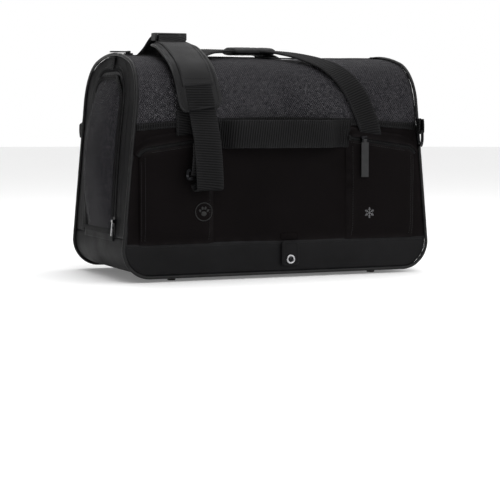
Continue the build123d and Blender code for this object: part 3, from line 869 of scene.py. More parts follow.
def doorway(t, inset, low=None):
    """The doorway's outline, set in: the same t as side_share()."""
    low = END_BAND_TOP if low is None else low
    half_wide, radius, top = DOOR_HALF - inset, max(DOOR_CORNER - inset, 1.0), DOOR_TOP - inset
    half = min(t, 1 - t) * 2
    if half < LEG_SHARE:
        y, z = -half_wide, low + (top - radius - low) * half / LEG_SHARE
    elif half < ARC_SHARE:
        angle = (half - LEG_SHARE) / (ARC_SHARE - LEG_SHARE) * math.pi / 2
        y, z = -half_wide + radius * (1 - math.cos(angle)), top - radius * (1 - math.sin(angle))
    else:
        y, z = -(half_wide - radius) * (1 - (half - ARC_SHARE) / (1 - ARC_SHARE)), top
    return (y if t <= 0.5 else -y), z


def end_frame(end):
    """The coated cloth between the piping and the doorway."""
    def place(u, v):
        outer, inner = side_share(u), doorway(u, -0.5)
        y = outer[0] + (inner[0] - outer[0]) * v
        z = outer[1] + (inner[1] - outer[1]) * v
        wide = math.hypot(outer[0] - inner[0], outer[1] - inner[1])
        close = min(v * wide, min(u, 1 - u) * 700.0)
        hem = (1 - v) * wide
        out = seam_edge(close) + puckers((0, y, z), min(close, hem)) + 0.7 * ripple(
            (end * 90, y, z), 32.0, 9.0
        )
        out += 0.6 * math.exp(-((hem - 5.0) / 3.0) ** 2)
        point, normal = on_end(end, y, z, out)
        return point, normal, (u * 640.0, v * wide), math.exp(-min(close, hem) / 2.5)

    return skin(place, knots(640.0, 6.5), knots(30.0, 4.5), SKIN)


def along_doorway(end, inset, out, low=None, count=150):
    points, normals = [], []
    for k in range(count + 1):
        y, z = doorway(k / count, inset, low)
        point, normal = on_end(end, y, z, out)
        points.append(point)
        normals.append(normal)
    return points, normals


DOOR_LOW = mm_box("door_border_left")[0].z
BORDER_IN = 15.0  # how far in from the doorway the door's binding reaches
COIL_LINE = 1.75  # middle of the coil, in from the doorway


def door_skin(end):
    """The door's mesh, bulging outwards."""
    low = DOOR_LOW + 4.0
    half = DOOR_HALF - BORDER_IN + 3.0
    radius = DOOR_CORNER - BORDER_IN + 3.0
    top = DOOR_TOP - BORDER_IN + 3.0

    def place(u, v):
        y = (2 * u - 1) * half
        over = max(0.0, abs(y) - (half - radius))
        high = top - radius + math.sqrt(max(radius**2 - over**2, 0.0))
        z = low + (high - low) * v
        slack = 0.5 * ripple((end * 60, y, z), 30.0, 11.0)
        point, normal = on_end(end, y, z, -0.6 + slack)
        return point, normal, (y, z), 0.0

    return skin(place, [k / 22 for k in range(23)], [k / 34 for k in range(35)], MESH_SKIN)


BORDER_EDGES = [
    (-1.0, 0.35), (-0.9, 0.8), (-0.7, 1.0), (-0.25, 1.05), (0.25, 1.05), (0.7, 1.0), (0.9, 0.8), (1.0, 0.35)
]


def doors():
    for end, word in ((-1, "left"), (1, "right")):
        body = f"door_{word}"
        framing = end_frame(end)
        add_piece(f"end_cloth_{word}", [framing], "coated_fabric", "bag", stands_for=[f"end_frame_{word}"])
        add_piece(
            f"door_net_{word}", [door_skin(end)], "mesh_fabric", body, stands_for=[f"door_mesh_{word}"]
        )
        binding = ribbon(*along_doorway(end, BORDER_IN - 3.5, 0.6, DOOR_LOW + 0.4), 7.4, 2.4, BORDER_EDGES)
        foot_row = [
            on_end(end, y, DOOR_LOW + 3.8, 0.9)
            for y in np.linspace(-DOOR_HALF + 9, DOOR_HALF - 9, 30)
        ]
        foot = ribbon([p for p, _ in foot_row], [n for _, n in foot_row], 7.4, 2.4, BORDER_EDGES)
        name = f"door_binding_{word}"
        add_piece(name, [binding, foot], "webbing", body, [f"door_border_{word}"])
        tape = ribbon(*along_doorway(end, COIL_LINE + 4.0, 0.1, DOOR_LOW + 2), 6.6, 0.8)
        teeth = coil(*along_doorway(end, COIL_LINE + 1.0, 0.2, DOOR_LOW + 2), 1, phase=0.5)
        add_piece(f"door_half_zip_{word}", [tape, teeth], "zip_coil", body)
        frame_tape = ribbon(*along_doorway(end, COIL_LINE - 3.2, -0.4), 5.0, 0.8)
        frame_teeth = coil(*along_doorway(end, COIL_LINE - 1.0, 0.2), -1)
        add_piece(
            f"frame_half_zip_{word}", [frame_tape, frame_teeth], "zip_coil", "bag",
            stands_for=[f"door_zip_{word}"]
        )
        on_door = [
            stitches(*along_doorway(end, 9.8, 1.8, DOOR_LOW + 2)),
            stitches(*along_doorway(end, 13.6, 1.8, DOOR_LOW + 2)),
        ]
        add_piece(f"door_stitching_{word}", on_door, "thread", body)
        on_frame = [
            stitches(*along_doorway(end, -4.6, 1.0)),
            stitches(*along_doorway(end, -16.0, 0.7, END_BAND_TOP + 3))
        ]
        add_piece(f"end_stitching_{word}", on_frame, "thread", "bag")
        hinge_strip(end, word)


def hinge_strip(end, word):
    """The cloth that the door folds down on, sewn to the base band and to the door."""
    def place(u, v):
        y = (2 * u - 1) * (DOOR_HALF - 6)
        z = END_BAND_TOP - 5.0 + 12.0 * v
        point, normal = on_end(end, y, z, 1.1 + 0.25 * ripple((0, y, z), 12.0))
        return point, normal, (y, z), 0.3

    strip = skin(place, [k / 24 for k in range(25)], [k / 8 for k in range(9)], 1.4)
    piece = add_piece(f"door_hinge_cloth_{word}", [strip], "coated_fabric")
    start = on_end(end, 0.0, END_BAND_TOP - 0.5)[0]
    finish = on_end(end, 0.0, END_BAND_TOP + 4.5)[0]
    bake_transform(piece)


def to_row(point):
    """From the bag's millimetres to the row frame's metres."""
    return Vector((point[0] * MM, point[1] * MM + MID_Y, point[2] * MM))


def under():
    add_piece("under_strip", [under_skin()], "coated_fabric", "bag", stands_for=["bottom_panel"])


# ---- piping ----------------------------------------------------------------------------------
PIPE_R = 2.3
PIPE_OUT = 1.2  # its middle stands this far out of both strips


def seam_path():
    """The one closed seam between the two strips, shaped like the seam of a tennis ball."""
    def corner(x, y, z, nx, ny, nz):
        return Vector((x, y, z)) + Vector((nx, ny, nz)) * PIPE_OUT

    points = []
    for end in (1, -1):
        for k in range(90):
            t = -FLAT - BOTTOM_R * (math.pi / 2 + LEAN) + k / 90 * 2 * (
                FLAT + BOTTOM_R * (math.pi / 2 + LEAN)
            )
            x, z, nx, nz = under_at(t * end)
            points.append(corner(x, -end * HALF_W, z, nx, -end, nz))
        low = BOTTOM_R * (1 + math.sin(LEAN))
        for k in range(120):
            share = k / 120 * 2
            s = low + (S_TOP - low) * (share if share <= 1 else 2 - share)
            y, z, ny, nz = side_at(s)
            flip = -1 if share > 1 else 1
            x = end * reach(z)
            place = corner(x, end * flip * y, z, end * math.cos(LEAN), end * flip * ny, nz)
            points.append(place)
    return points


def seam():
    path, _ = route_through(seam_path(), step=2.6, closed=True)
    sizes = [PIPE_R + 0.12 * ripple(p, 7.0, 2.0) for p in path]
    add_piece(
        "piped_seam", [tube(path, sizes, 10, closed=True, wear=0.5)], "piping", "bag",
        stands_for=["seam_piping"]
    )


# ---- zip along the crest ---------------------------------------------------------------------
def crest_line(y, out, margin=0.5, step=4.0):
    """Points and normals along the roof, y mm from its middle."""
    half = reach(HEIGHT) - margin
    s = S_TOP - abs(y)
    points, normals = [], []
    for x in np.linspace(-half, half, int(2 * half / step)):
        point, normal = on_side(-1 if y <= 0 else 1, float(x), s, out + 0.6 * mesh_relief(float(x), s))
        points.append(point)
        normals.append(normal)
    return points, normals


def roof_zip():
    tapes = [ribbon(*crest_line(side * 4.6, 0.3), 7.0, 0.9) for side in (-1, 1)]
    teeth = [coil(*crest_line(-0.9, 0.1), -1), coil(*crest_line(0.9, 0.1), 1, phase=0.5)]
    add_piece("roof_zip_tapes", tapes + teeth, "zip_coil", "bag", stands_for=["roof_zip"])
    rows = [stitches(*crest_line(side * 6.6, 0.85)) for side in (-1, 1)]
    add_piece("roof_stitching", rows, "thread", "bag")
    for end, word in ((-1, "left"), (1, "right")):
        low, high = mm_box(f"zip_tab_{word}")
        y = (low.y + high.y) / 2
        wide = high.y - low.y
        route = []
        for z in (low.z, low.z + 4, high.z - 7, high.z - 3):
            route.append(on_end(end, y, z, 1.6)[0])
        crest_point = Vector((end * (reach(HEIGHT) - 1.5), y, HEIGHT + 1.2))
        route += [crest_point, crest_point + Vector((-end * 7.0, 0, 0.4))]
        points, _ = route_through(route, 1.2)
        ways = tangents_of(points)
        normals = [Vector((0, end, 0)).cross(w) * 1.0 for w in ways]
        tab = ribbon(points, [n if n.x * end + n.z > 0 else -n for n in normals], wide, 2.0)
        add_piece(f"crest_tab_{word}", [tab], "webbing", "bag", stands_for=[f"zip_tab_{word}"])
        row = [on_end(end, float(yy), low.z + 2.6, 2.8) for yy in np.linspace(low.y + 1, high.y - 1, 8)]
        add_piece(
            f"crest_tab_stitching_{word}", [stitches([p for p, _ in row], [n for _, n in row])], "thread",
            "bag"
        )


# ---- pockets ---------------------------------------------------------------------------------
POCKET_HIGH = 12.0  # height of the cloth above a pocket's zip
POCKET_BEND = 16.0  # radius of its outer top corner
BEND_X = POCKET_OUTER - POCKET_BEND  # the corner's centre
BEND_ARC = math.radians(62.0)  # how far round the corner the zip goes


def zip_at(x):
    """Height of the pocket's top edge, at x mm outwards from the bag's middle."""
    share = (min(x, BEND_X) - POCKET_IN) / (BEND_X - POCKET_IN)
    over = min(max(x - BEND_X, 0.0), POCKET_BEND)
    return ZIP_HIGH + (ZIP_LOW - ZIP_HIGH) * share - POCKET_BEND + math.sqrt(POCKET_BEND**2 - over**2)


def along_zip(t):
    """Place (x, z) on the pocket's top edge, t from 0 at its inner end to 1, and the way out of it."""
    straight = math.hypot(BEND_X - POCKET_IN, ZIP_HIGH - ZIP_LOW)
    run = t * (straight + POCKET_BEND * BEND_ARC)
    if run < straight:
        x = POCKET_IN + (BEND_X - POCKET_IN) * run / straight
        return x, zip_at(x), 0.0, 1.0
    angle = (run - straight) / POCKET_BEND
    rise = POCKET_BEND * math.cos(angle)
    return (
        BEND_X + POCKET_BEND * math.sin(angle), ZIP_LOW - POCKET_BEND + rise, math.sin(angle),
        math.cos(angle)
    )


def pocket_out(x, z):
    """How far the front of a pocket stands out of the side."""
    full = POCKET_OUT + 1.6 * math.sin(
        math.pi * min(1.0, max(0.0, (z - POCKET_LOW) / (ZIP_LOW - POCKET_LOW)))
    )
    edge_in = smooth_step(x, POCKET_IN - 1.0, POCKET_IN + 7.0)
    edge_out = 1 - 0.7 * smooth_step(x, POCKET_OUTER - 9.0, POCKET_OUTER + 2.0)
    foot = 0.2 + 0.8 * smooth_step(z, POCKET_LOW - 1.0, POCKET_LOW + 20.0)
    slack = 0.9 * ripple((x, 5.0, z), 42.0, 13.0) + 0.35 * ripple((x, 5.0, z), 17.0, 15.0)
    return full * edge_in * edge_out * foot + slack * edge_in * foot


def on_pocket(side, x, z, out=0.0):
    """Point and normal on the pocket at the side's left (-1) or right (1)."""
    step = 1.0
    depth = pocket_out(x, z)
    slope_x = (pocket_out(x + step, z) - depth) / step
    slope_z = (pocket_out(x, z + step) - depth) / step
    normal = Vector((-side * slope_x, -1.0, -slope_z)).normalized()
    return Vector((side * x, -HALF_W - depth, z)) + normal * out, normal


def pocket_line(side, from_point, to_point, out, step=3.0):
    """Points and normals on a pocket between two places (x, z)."""
    (x0, z0), (x1, z1) = from_point, to_point
    count = max(2, int(math.hypot(x1 - x0, z1 - z0) / step))
    row = [
        on_pocket(side, x0 + (x1 - x0) * k / count, z0 + (z1 - z0) * k / count, out)
        for k in range(count + 1)
    ]
    return [p for p, _ in row], [n for _, n in row]


def pocket_face(side):
    """The front of a patch pocket, with a rounded outer top corner."""
    def place(u, v):
        x = POCKET_IN - 2.0 + (POCKET_OUTER + 1.5 - POCKET_IN) * u
        high = zip_at(x) + 0.6
        z = POCKET_LOW - 1.0 + (high - POCKET_LOW + 1.0) * v
        close = min(POCKET_OUTER - x + 0.5, z - POCKET_LOW + 1.0)
        top = high - z
        point, normal = on_pocket(
            side, x, z, 0.9 + puckers((x, 9.0, z), min(close, top)) + 0.8 * seam_edge(close)
        )
        return point, normal, (x, z), math.exp(-min(close, top, abs(x - POCKET_IN - 3)) / 2.5)

    return skin(place, knots(106.0, 4.0), knots(135.0, 4.5), SKIN)


def beside_zip(side, t, shift, out):
    """Point shift mm above the pocket's top edge; the zip sinks towards the side at its outer end."""
    x, z, way_x, way_z = along_zip(t)
    tuck = 1 - 0.75 * smooth_step(x, POCKET_OUTER - 12.0, POCKET_OUTER + 3.0)
    return Vector((side * (x + way_x * shift), -HALF_W - out * tuck, z + way_z * shift))


def pocket_hood(side):
    """The cloth above the pocket's zip, which slopes back to the side."""
    def place(u, v):
        bend = 1 - 0.45 * smooth_step(u, 0.75, 1.0)
        out = (POCKET_OUT + 0.9) * smooth_step(u, 0.0, 0.07) * (1 - smooth_step(v, 0.2, 1.0)) + 1.0
        point = beside_zip(side, u, ZIP_BAND - 0.8 + (POCKET_HIGH + 1.0) * v * bend, out)
        point.y += 0.3 * ripple(point, 15.0, 21.0)
        near_edge = min(v, 1 - v) * POCKET_HIGH
        return point, (0, -1, 0), (point.x, point.z), math.exp(-near_edge / 2.0)

    return skin(place, knots(112.0, 5.0), [k / 8 for k in range(9)], 1.4)


def zip_row(side, shift, out, count=44):
    """Points and normals along the pocket's zip, shift mm above the pocket's edge."""
    points = [beside_zip(side, 0.01 + 0.99 * k / count, shift, out) for k in range(count + 1)]
    return points, [Vector((0, -1, 0))] * len(points)


def pocket_zip_parts(side):
    tapes, teeth = [], []
    for shift, way in ((1.9, -1), (ZIP_BAND - 1.9, 1)):
        tapes.append(ribbon(*zip_row(side, shift, POCKET_OUT - 1.4), 3.8, 0.8))
        points, normals = zip_row(side, ZIP_BAND / 2 + way * 0.8, POCKET_OUT - 1.2)
        teeth.append(coil(points, normals, way * side, wide=2.1, phase=0.25 * (1 + way)))
    return tapes + teeth


def disc(side, x, z, radius_x, radius_z, height, turn=0.0, dome=0.35):
    """A small raised pad on a pocket, flat in the middle and rounded at its edge."""
    rings = [(1.0, 0.0), (0.97, 0.6), (0.86, 1.0), (0.5, 1.0 + dome * 0.6), (0.0, 1.0 + dome)]
    verts, faces, uvs = [], [], []
    count = 20
    for size, rise in rings[:-1]:
        for k in range(count):
            a = 2 * math.pi * k / count
            dx, dz = radius_x * size * math.cos(a), radius_z * size * math.sin(a)
            px, pz = x + dx * math.cos(
                turn
            ) - dz * math.sin(turn), z + dx * math.sin(turn) + dz * math.cos(turn)
            point, _ = on_pocket(side, px, pz, 0.75 + height * rise)
            verts.append(point)
            uvs.append((px, pz))
    verts.append(on_pocket(side, x, z, 0.75 + height * rings[-1][1])[0])
    uvs.append((x, z))
    for ring in range(len(rings) - 2):
        for k in range(count):
            a, b = ring * count + k, ring * count + (k + 1) % count
            faces.append((a, b, b + count, a + count))
    top = len(verts) - 1
    last = (len(rings) - 2) * count
    for k in range(count):
        faces.append((last + k, last + (k + 1) % count, top))
    faces.append(tuple(range(count - 1, -1, -1)))
    return verts, faces, uvs, [0.2] * len(verts)


def paw_emblem():
    """A plain paw print in a ring."""
    side, x, z, radius = -1, 115.0, 93.0, 12.0
    ring = []
    for k in range(48):
        a = 2 * math.pi * k / 48
        ring.append(on_pocket(side, x + radius * math.cos(a), z + radius * math.sin(a), 1.1)[0])
    parts = [tube(ring, 0.75, 8, closed=True, wear=0.6), disc(side, x, z - 2.6, 4.2, 3.4, 0.9)]
    for dx, dz, size, turn in (
        (-5.4, 1.6, 1.7, 0.5), (-2.0, 4.8, 1.9, 0.15), (2.0, 4.8, 1.9, -0.15), (5.4, 1.6, 1.7, -0.5)
    ):
        parts.append(disc(side, x + dx, z + dz, size, size * 1.35, 0.9, -side * turn))
    add_piece("paw_emblem", parts, "emblem_rubber", "bag")


def bar_on_pocket(side, start, finish, wide, out=0.85):
    """A thin printed bar on a pocket between two places (x, z)."""
    points, normals = pocket_line(side, start, finish, out, step=1.0)
    return ribbon(points, normals, wide, 0.35, ripple_mm=0.0)


def snow_mark():
    """A plain six-armed snowflake, printed on the pocket that takes a cooling pack."""
    side, x, z, arm = 1, 132.0, 86.0, 7.6
    parts = []
    for k in range(6):
        a = math.pi / 2 + k * math.pi / 3
        way = (math.cos(a), math.sin(a))
        parts.append(bar_on_pocket(side, (x, z), (x + way[0] * arm, z + way[1] * arm), 0.9))
        for share, size in ((0.45, 2.4), (0.72, 1.8)):
            root = (x + way[0] * arm * share, z + way[1] * arm * share)
            for turn in (-1, 1):
                b = a + turn * math.pi / 3.4
                tip = (root[0] + math.cos(b) * size, root[1] + math.sin(b) * size)
                parts.append(bar_on_pocket(side, root, tip, 0.7))
    add_piece("snow_mark", parts, "print_ink", "bag")


def pockets():
    for side, word in ((-1, "left"), (1, "right")):
        add_piece(
            f"pocket_face_{word}", [pocket_face(side), pocket_hood(side)], "pocket_fabric", "bag",
            stands_for=[f"pocket_{word}"]
        )
        add_piece(
            f"pocket_coil_{word}", pocket_zip_parts(side), "zip_coil", "bag",
            stands_for=[f"pocket_zip_{word}"]
        )
        inner, outer, low = POCKET_IN + 6.5, POCKET_OUTER - 3.0, POCKET_LOW + 4.0
        top = [(POCKET_IN + 4.0, zip_at(POCKET_IN + 4.0) - 2.2), (BEND_X, ZIP_LOW - 2.2)]
        rows = [
            stitches(*pocket_line(side, top[0], top[1], 1.0)),
            stitches(*pocket_line(side, (inner, low), (inner, ZIP_HIGH - 5), 1.0)),
            stitches(*pocket_line(side, (outer, low), (outer, ZIP_LOW - 12), 1.0)),
            stitches(*pocket_line(side, (outer - 4.5, low), (outer - 4.5, ZIP_LOW - 8), 1.0)),
        ]
        add_piece(f"pocket_stitching_{word}", rows, "thread", "bag")
    paw_emblem()
    snow_mark()


# ---- webbing on the near side ----------------------------------------------------------------
def trolley_strap():
    flat, bow = -HALF_W - WEB / 2, mm_box("trolley_strap")[0].y + WEB / 2
    half = TROLLEY_HALF
    route = [
        (-half - 6, flat - 0.4), (-half + 10, flat - 0.8), (-half + 26, bow + 4), (-52, bow + 0.4), (0, bow)
    ]
    route += [(-x, y) for x, y in reversed(route[:-1])]
    points, _ = route_through([(x, y, TROLLEY_Z) for x, y in route], 2.5)
    points = [p + Vector((0, 0, 0.9 * ripple(p, 50.0, 31.0))) for p in points]
    normals = [Vector((0, -1, 0))] * len(points)
    strap = ribbon(points, normals, TROLLEY_WIDE, WEB)
    add_piece("trolley_webbing", [strap], "webbing", "bag", stands_for=["trolley_strap"])
    rows = []
    for way in (-1, 1):
        for x in (half - 3.0, half - 8.5):
            column = [Vector((way * x, flat - 2.3, TROLLEY_Z + z)) for z in np.linspace(-17, 17, 12)]
            rows.append(stitches(column, [Vector((0, -1, 0))] * len(column)))
    add_piece("trolley_bar_tacks", rows, "thread", "bag")


def rounded_plate(centre, half_x, half_z, thick, corner, body_out, sides=7):
    """A padded flat tab facing the near side, with rounded corners. centre is its outer face's middle."""
    outline = []
    for sx, sz, start in ((1, 1, 0.0), (-1, 1, math.pi / 2), (-1, -1, math.pi), (1, -1, 1.5 * math.pi)):
        for k in range(sides):
            a = start + k / (sides - 1) * math.pi / 2
            x = sx * (half_x - corner) + corner * math.cos(a)
            z = sz * (half_z - corner) + corner * math.sin(a)
            outline.append((x, z))
    layers = [(0.90, thick), (0.98, thick - 0.3), (1.0, thick / 2), (0.98, 0.3), (0.90, 0.0)]
    layers = [(0.55, thick + body_out * 0.2), (0.80, thick - 0.45), (0.86, thick - 0.1)] + layers
    sections, uvs = [], []
    for size, depth in layers:
        inset = (1 - size) * min(half_x, half_z)
        ring = []
        for x, z in outline:
            px, pz = x * (1 - inset / half_x), z * (1 - inset / half_z)
            ring.append(Vector((centre[0] + px, centre[1] - depth, centre[2] + pz)))
            uvs.append((px, pz))
        sections.append(ring)
    return loft(sections, uvs, [0.5 if 0.9 < size < 1.01 else 0.0 for size, _ in layers for _ in outline])


def turned(centre, profile, count=32):
    """A body turned about an axis across the bag, from its radii and heights towards the near side."""
    sections, uvs = [], []
    for radius, height in profile:
        angles = [2 * math.pi * k / count for k in range(count)]
        sections.append(
            [centre + Vector((radius * math.cos(a), -height, radius * math.sin(a))) for a in angles]
        )
        uvs += [(radius * a, height) for a in angles]
    return loft(sections, uvs, [0.3] * len(uvs))


def snap_tab():
    low, high = mm_box("snap_tab")
    middle = ((low.x + high.x) / 2, high.y, (low.z + high.z) / 2)
    half_x, half_z = (high.x - low.x) / 2, (high.z - low.z) / 2
    tab = rounded_plate(middle, half_x, half_z, high.y - low.y, 5.0, 0.6)
    add_piece("snap_tab_cloth", [tab], "coated_fabric", "snap_tab", stands_for=["snap_tab"])
    edge = 2.6
    box = [(-1, 1), (1, 1), (1, -1), (-1, -1), (-1, 1)]
    rows = []
    for a, b in zip(box, box[1:]):
        start = Vector((middle[0] + a[0] * (half_x - edge), low.y - 0.1, middle[2] + a[1] * (half_z - edge)))
        finish = Vector(
            (middle[0] + b[0] * (half_x - edge), low.y - 0.1, middle[2] + b[1] * (half_z - edge))
        )
        column = [start.lerp(finish, k / 8) for k in range(9)]
        rows.append(stitches(column, [Vector((0, -1, 0))] * len(column)))
    add_piece("snap_tab_stitching", rows, "thread", "snap_tab")
    low, high = mm_box("snap_cap")
    centre = Vector(((low.x + high.x) / 2, low.y + 2.0, (low.z + high.z) / 2))
    rim = [(6.5, 0.0), (6.5, 0.9), (6.1, 1.6), (5.2, 2.1), (4.3, 1.8), (3.7, 0.9), (3.5, 0.3)]
    add_piece("snap_rim", [turned(centre, rim)], "silver_metal", "snap_tab", stands_for=["snap_cap"])
    button = [(3.6, 0.0), (3.6, 0.5), (2.6, 0.9), (1.2, 1.0)]
    add_piece("snap_button", [turned(centre, button)], "black_metal", "snap_tab")
    socket = [(5.5, -4.3), (5.5, -3.0), (5.0, -2.4), (3.0, -2.4), (2.8, -4.3)]
    add_piece("snap_socket", [turned(centre, socket)], "silver_metal", "snap_tab")
    low, high = mm_box("snap_hem")
    middle = ((low.x + high.x) / 2, high.y, (low.z + high.z) / 2)
    hem = rounded_plate(middle, (high.x - low.x) / 2, (high.z - low.z) / 2, high.y - low.y + 0.5, 2.0, 0.2)
    add_piece("snap_hem_cloth", [hem], "pocket_fabric", "bag", stands_for=["snap_hem"])


# ---- carry handles ---------------------------------------------------------------------------
HANDLE_WIDE = 32.0
GRIP_WIDE = 20.0
HANDLE_FOOT_X = 136.0
HANDLE_FOOT_Z = mm_box("handle_near")[0].z
HANDLE_Y = HALF_W + 1.8 + WEB / 2
HANDLE_SLOPE = math.radians(27.0)  # steeper than the roof, so that the webbing clears its crest
# by side: 1 makes the laid-over arch an ellipse, more draws its shoulder in
HANDLE_BEND = {-1: 0.8, 1: 1.55}
HANDLE_R = CORNER_R + 3.0
HANDLE_REACH = HANDLE_Y - HANDLE_R + HANDLE_R * math.sin(HANDLE_SLOPE)
HANDLE_CROWN_R = HANDLE_REACH / math.sin(HANDLE_SLOPE)
HANDLE_CROWN_Z = CORNER_Z + (HANDLE_R - HANDLE_CROWN_R) * math.cos(HANDLE_SLOPE)
HANDLE_STRAIGHT = CORNER_Z - HANDLE_FOOT_Z
HANDLE_ROUND = HANDLE_R * (math.pi / 2 - HANDLE_SLOPE)
HANDLE_OVER = HANDLE_CROWN_R * (HANDLE_SLOPE - math.asin((GRIP_WIDE / 2 + 1.0) / HANDLE_CROWN_R))


def handle_surface(s):
    """Near side of the surface that the handle lies on, s mm up: y, z and the normal's y, z."""
    if s < HANDLE_STRAIGHT:
        return -HANDLE_Y, HANDLE_FOOT_Z + s, -1.0, 0.0
    if s < HANDLE_STRAIGHT + HANDLE_ROUND:
        angle = (s - HANDLE_STRAIGHT) / HANDLE_R
        y = HANDLE_R - HANDLE_Y - HANDLE_R * math.cos(angle)
        return y, CORNER_Z + HANDLE_R * math.sin(angle), -math.cos(angle), math.sin(angle)
    angle = HANDLE_SLOPE - (s - HANDLE_STRAIGHT - HANDLE_ROUND) / HANDLE_CROWN_R
    y, z = -HANDLE_CROWN_R * math.sin(angle), HANDLE_CROWN_Z + HANDLE_CROWN_R * math.cos(angle)
    return y, z, -math.sin(angle), math.cos(angle)


def handle_route(side, steps=80):
    """Points, normals and widths of a handle's webbing, foot to foot."""
    points, normals, widths = [], [], []
    length = HANDLE_STRAIGHT + HANDLE_ROUND + HANDLE_OVER
    for i in range(-steps, steps + 1):
        t = i / steps * math.pi / 2
        bend = HANDLE_BEND[-1 if t < 0 else 1]
        x = HANDLE_FOOT_X * math.copysign(abs(math.sin(t)) ** bend, t)
        y, z, ny, nz = handle_surface(length * max(math.cos(t), 0.0) ** bend)
        points.append(Vector((x, -side * y, z)))
        normals.append(Vector((0, -side * ny, nz)))
        gathered = max(0.0, 1 - abs(x) / 70.0)
        widths.append(HANDLE_WIDE - (HANDLE_WIDE - GRIP_WIDE) * min(1.0, 1.6 * gathered))
    return points, normals, widths


def handle_foot(side, way):
    """The handle's end, sewn flat to the side below its foot, with a cross-stitched box."""
    x = way * HANDLE_FOOT_X
    on = [
        Vector((x, side * (HALF_W + 1.6 + 1.4 * k / 4), HANDLE_FOOT_Z - 11 + 12 * k / 4))
        for k in range(5)
    ]
    patch = ribbon(on, [Vector((0, side, 0))] * len(on), HANDLE_WIDE, WEB)
    rows = []
    y = side * (HALF_W + 1.6 + WEB / 2 + 0.5)
    box = [(-12, -9), (12, -9), (12, 0), (-12, 0), (-12, -9), (12, 0)]
    for a, b in zip(box, box[1:]):
        start = Vector((x + a[0], y, HANDLE_FOOT_Z + a[1]))
        finish = Vector((x + b[0], y, HANDLE_FOOT_Z + b[1]))
        column = [start.lerp(finish, k / 6) for k in range(7)]
        rows.append(stitches(column, [Vector((0, side, 0))] * len(column), lift=0.3))
    return patch, rows


def edge_row(points, normals, widths, inset, thick):
    """Points and normals along both edges of a ribbon, for stitching."""
    ways = tangents_of(points)
    rows = []
    for hand in (-1, 1):
        row = []
        for point, normal, way, wide in zip(points, normals, ways, widths):
            across = way.cross(normal).normalized()
            out = across.cross(way).normalized()
            row.append(point + across * hand * (wide / 2 - inset) + out * (thick / 2))
        rows.append((row, normals))
    return rows


def handles():
    for side, word in ((-1, "near"), (1, "far")):
        points, normals, widths = handle_route(side)
        strap = ribbon(points, normals, widths, WEB)
        rows = [stitches(row, ns) for row, ns in edge_row(points, normals, widths, 2.4, WEB)]
        webbing_piece = add_piece(
            f"handle_webbing_{word}", [strap], "webbing", stands_for=[f"handle_{word}"]
        )
        sewing = add_piece(f"handle_stitching_{word}", rows, "thread")
        for piece in (webbing_piece, sewing):
            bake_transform(piece)
        feet, tacks = [], []
        for way in (-1, 1):
            patch, row = handle_foot(side, way)
            feet.append(patch)
            tacks += row
        add_piece(f"handle_feet_{word}", feet, "webbing", "bag")
        add_piece(f"handle_tacks_{word}", tacks, "thread", "bag")


def handle_wrap():
    """Padded sleeve that joins both handles: quilted, closed by a flap along its top."""
    low, high = mm_box("handle_wrap")
    half_x, half_y = (high.x - low.x) / 2, (high.y - low.y) / 2
    mid_z, half_z = (low.z + high.z) / 2, (high.z - low.z) / 2
    sections, uvs, wears = [], [], []
    count, around = 34, 48
    for i in range(count + 1):
        u = -1 + 2 * i / count
        x = u * half_x
        end = max(0.0, (abs(u) - 0.88) / 0.12)
        size = 1 - 0.30 * end**2
        ring = []
        for k in range(around):
            a = 2 * math.pi * k / around
            c, s = math.cos(a), math.sin(a)
            y = half_y * math.copysign(abs(c) ** 0.62, c) * (1 - 0.04 * end)
            z = half_z * math.copysign(abs(s) ** 0.75, s) * size
            quilt = 0.35 * abs(math.sin(math.pi * x / 9.0)) * (1 - end)
            z += math.copysign(quilt, s) + 0.5 * ripple((x, y, z), 16.0, 41.0)
            flap = 0.9 * smooth_step(y, 6.0, 8.0) if s > 0.2 else 0.0
            droop = -1.6 * (y / half_y) ** 2
            ring.append(Vector((x, y, mid_z + z + flap + droop)))
            uvs.append((x, half_y * a))
            wears.append(max(end, 0.35 if abs(c) > 0.9 else 0.0))
        sections.append(ring)
    sleeve = loft(sections, uvs, wears)
    piece = add_piece("handle_sleeve", [sleeve], "pad_fabric", "handle", stands_for=["handle_wrap"])


# ---- tabs of the two D-rings -----------------------------------------------------------------
BAR_R = 1.8
RINGS = {  # where each ring's bar is, the way it stands out of the seam, and the way its tab goes
    "right": (Vector((206.0, -129.0, 199.0)), Vector((-0.25, -0.968, 0)).normalized(), Vector((0, 0, 1))),
    "left": (Vector((-206.0, 129.0, 206.0)), Vector((0, 1, 0)), Vector((0, 0, -1))),
}


def ring_tabs():
    for word, (origin, out, high) in RINGS.items():
        normal = out.cross(high)
        layer, gap = 1.9, BAR_R + 0.25
        fold_r = gap + layer / 2
        path = [(17.0, fold_r - 0.9), (9.0, fold_r), (3.0, fold_r)]
        path += [(-fold_r * math.sin(a), fold_r * math.cos(a)) for a in np.linspace(0.3, math.pi - 0.3, 9)]
        path += [(3.0, -fold_r), (9.0, -fold_r), (17.0, -fold_r + 0.9)]
        middle = origin - out * 1.0
        points, _ = route_through([middle + high * a + normal * b for a, b in path], 0.9)
        ways = tangents_of(points)
        tab = ribbon(points, [out.cross(w) for w in ways], 18.5, layer)
        rows = []
        for hand in (-1, 1):
            for rise in (6.5, 14.5):
                row = [
                    middle + high * rise + normal * hand * (fold_r + layer / 2) + out * a
                    for a in np.linspace(-7.5, 7.5, 6)
                ]
                rows.append(stitches(row, [normal * hand] * len(row)))
        root = middle + high * 12.0 - out * 6.0
        inner = [root + out * 2.0, root - out * 3.0, root - out * 8.0]
        anchor = ribbon(inner, [normal] * 3, 12.0, 5.2)
        add_piece(f"ring_tab_{word}", [tab, anchor], "webbing", "bag", stands_for=[f"dring_tab_{word}"])
        add_piece(f"ring_tab_stitching_{word}", rows, "thread", "bag")


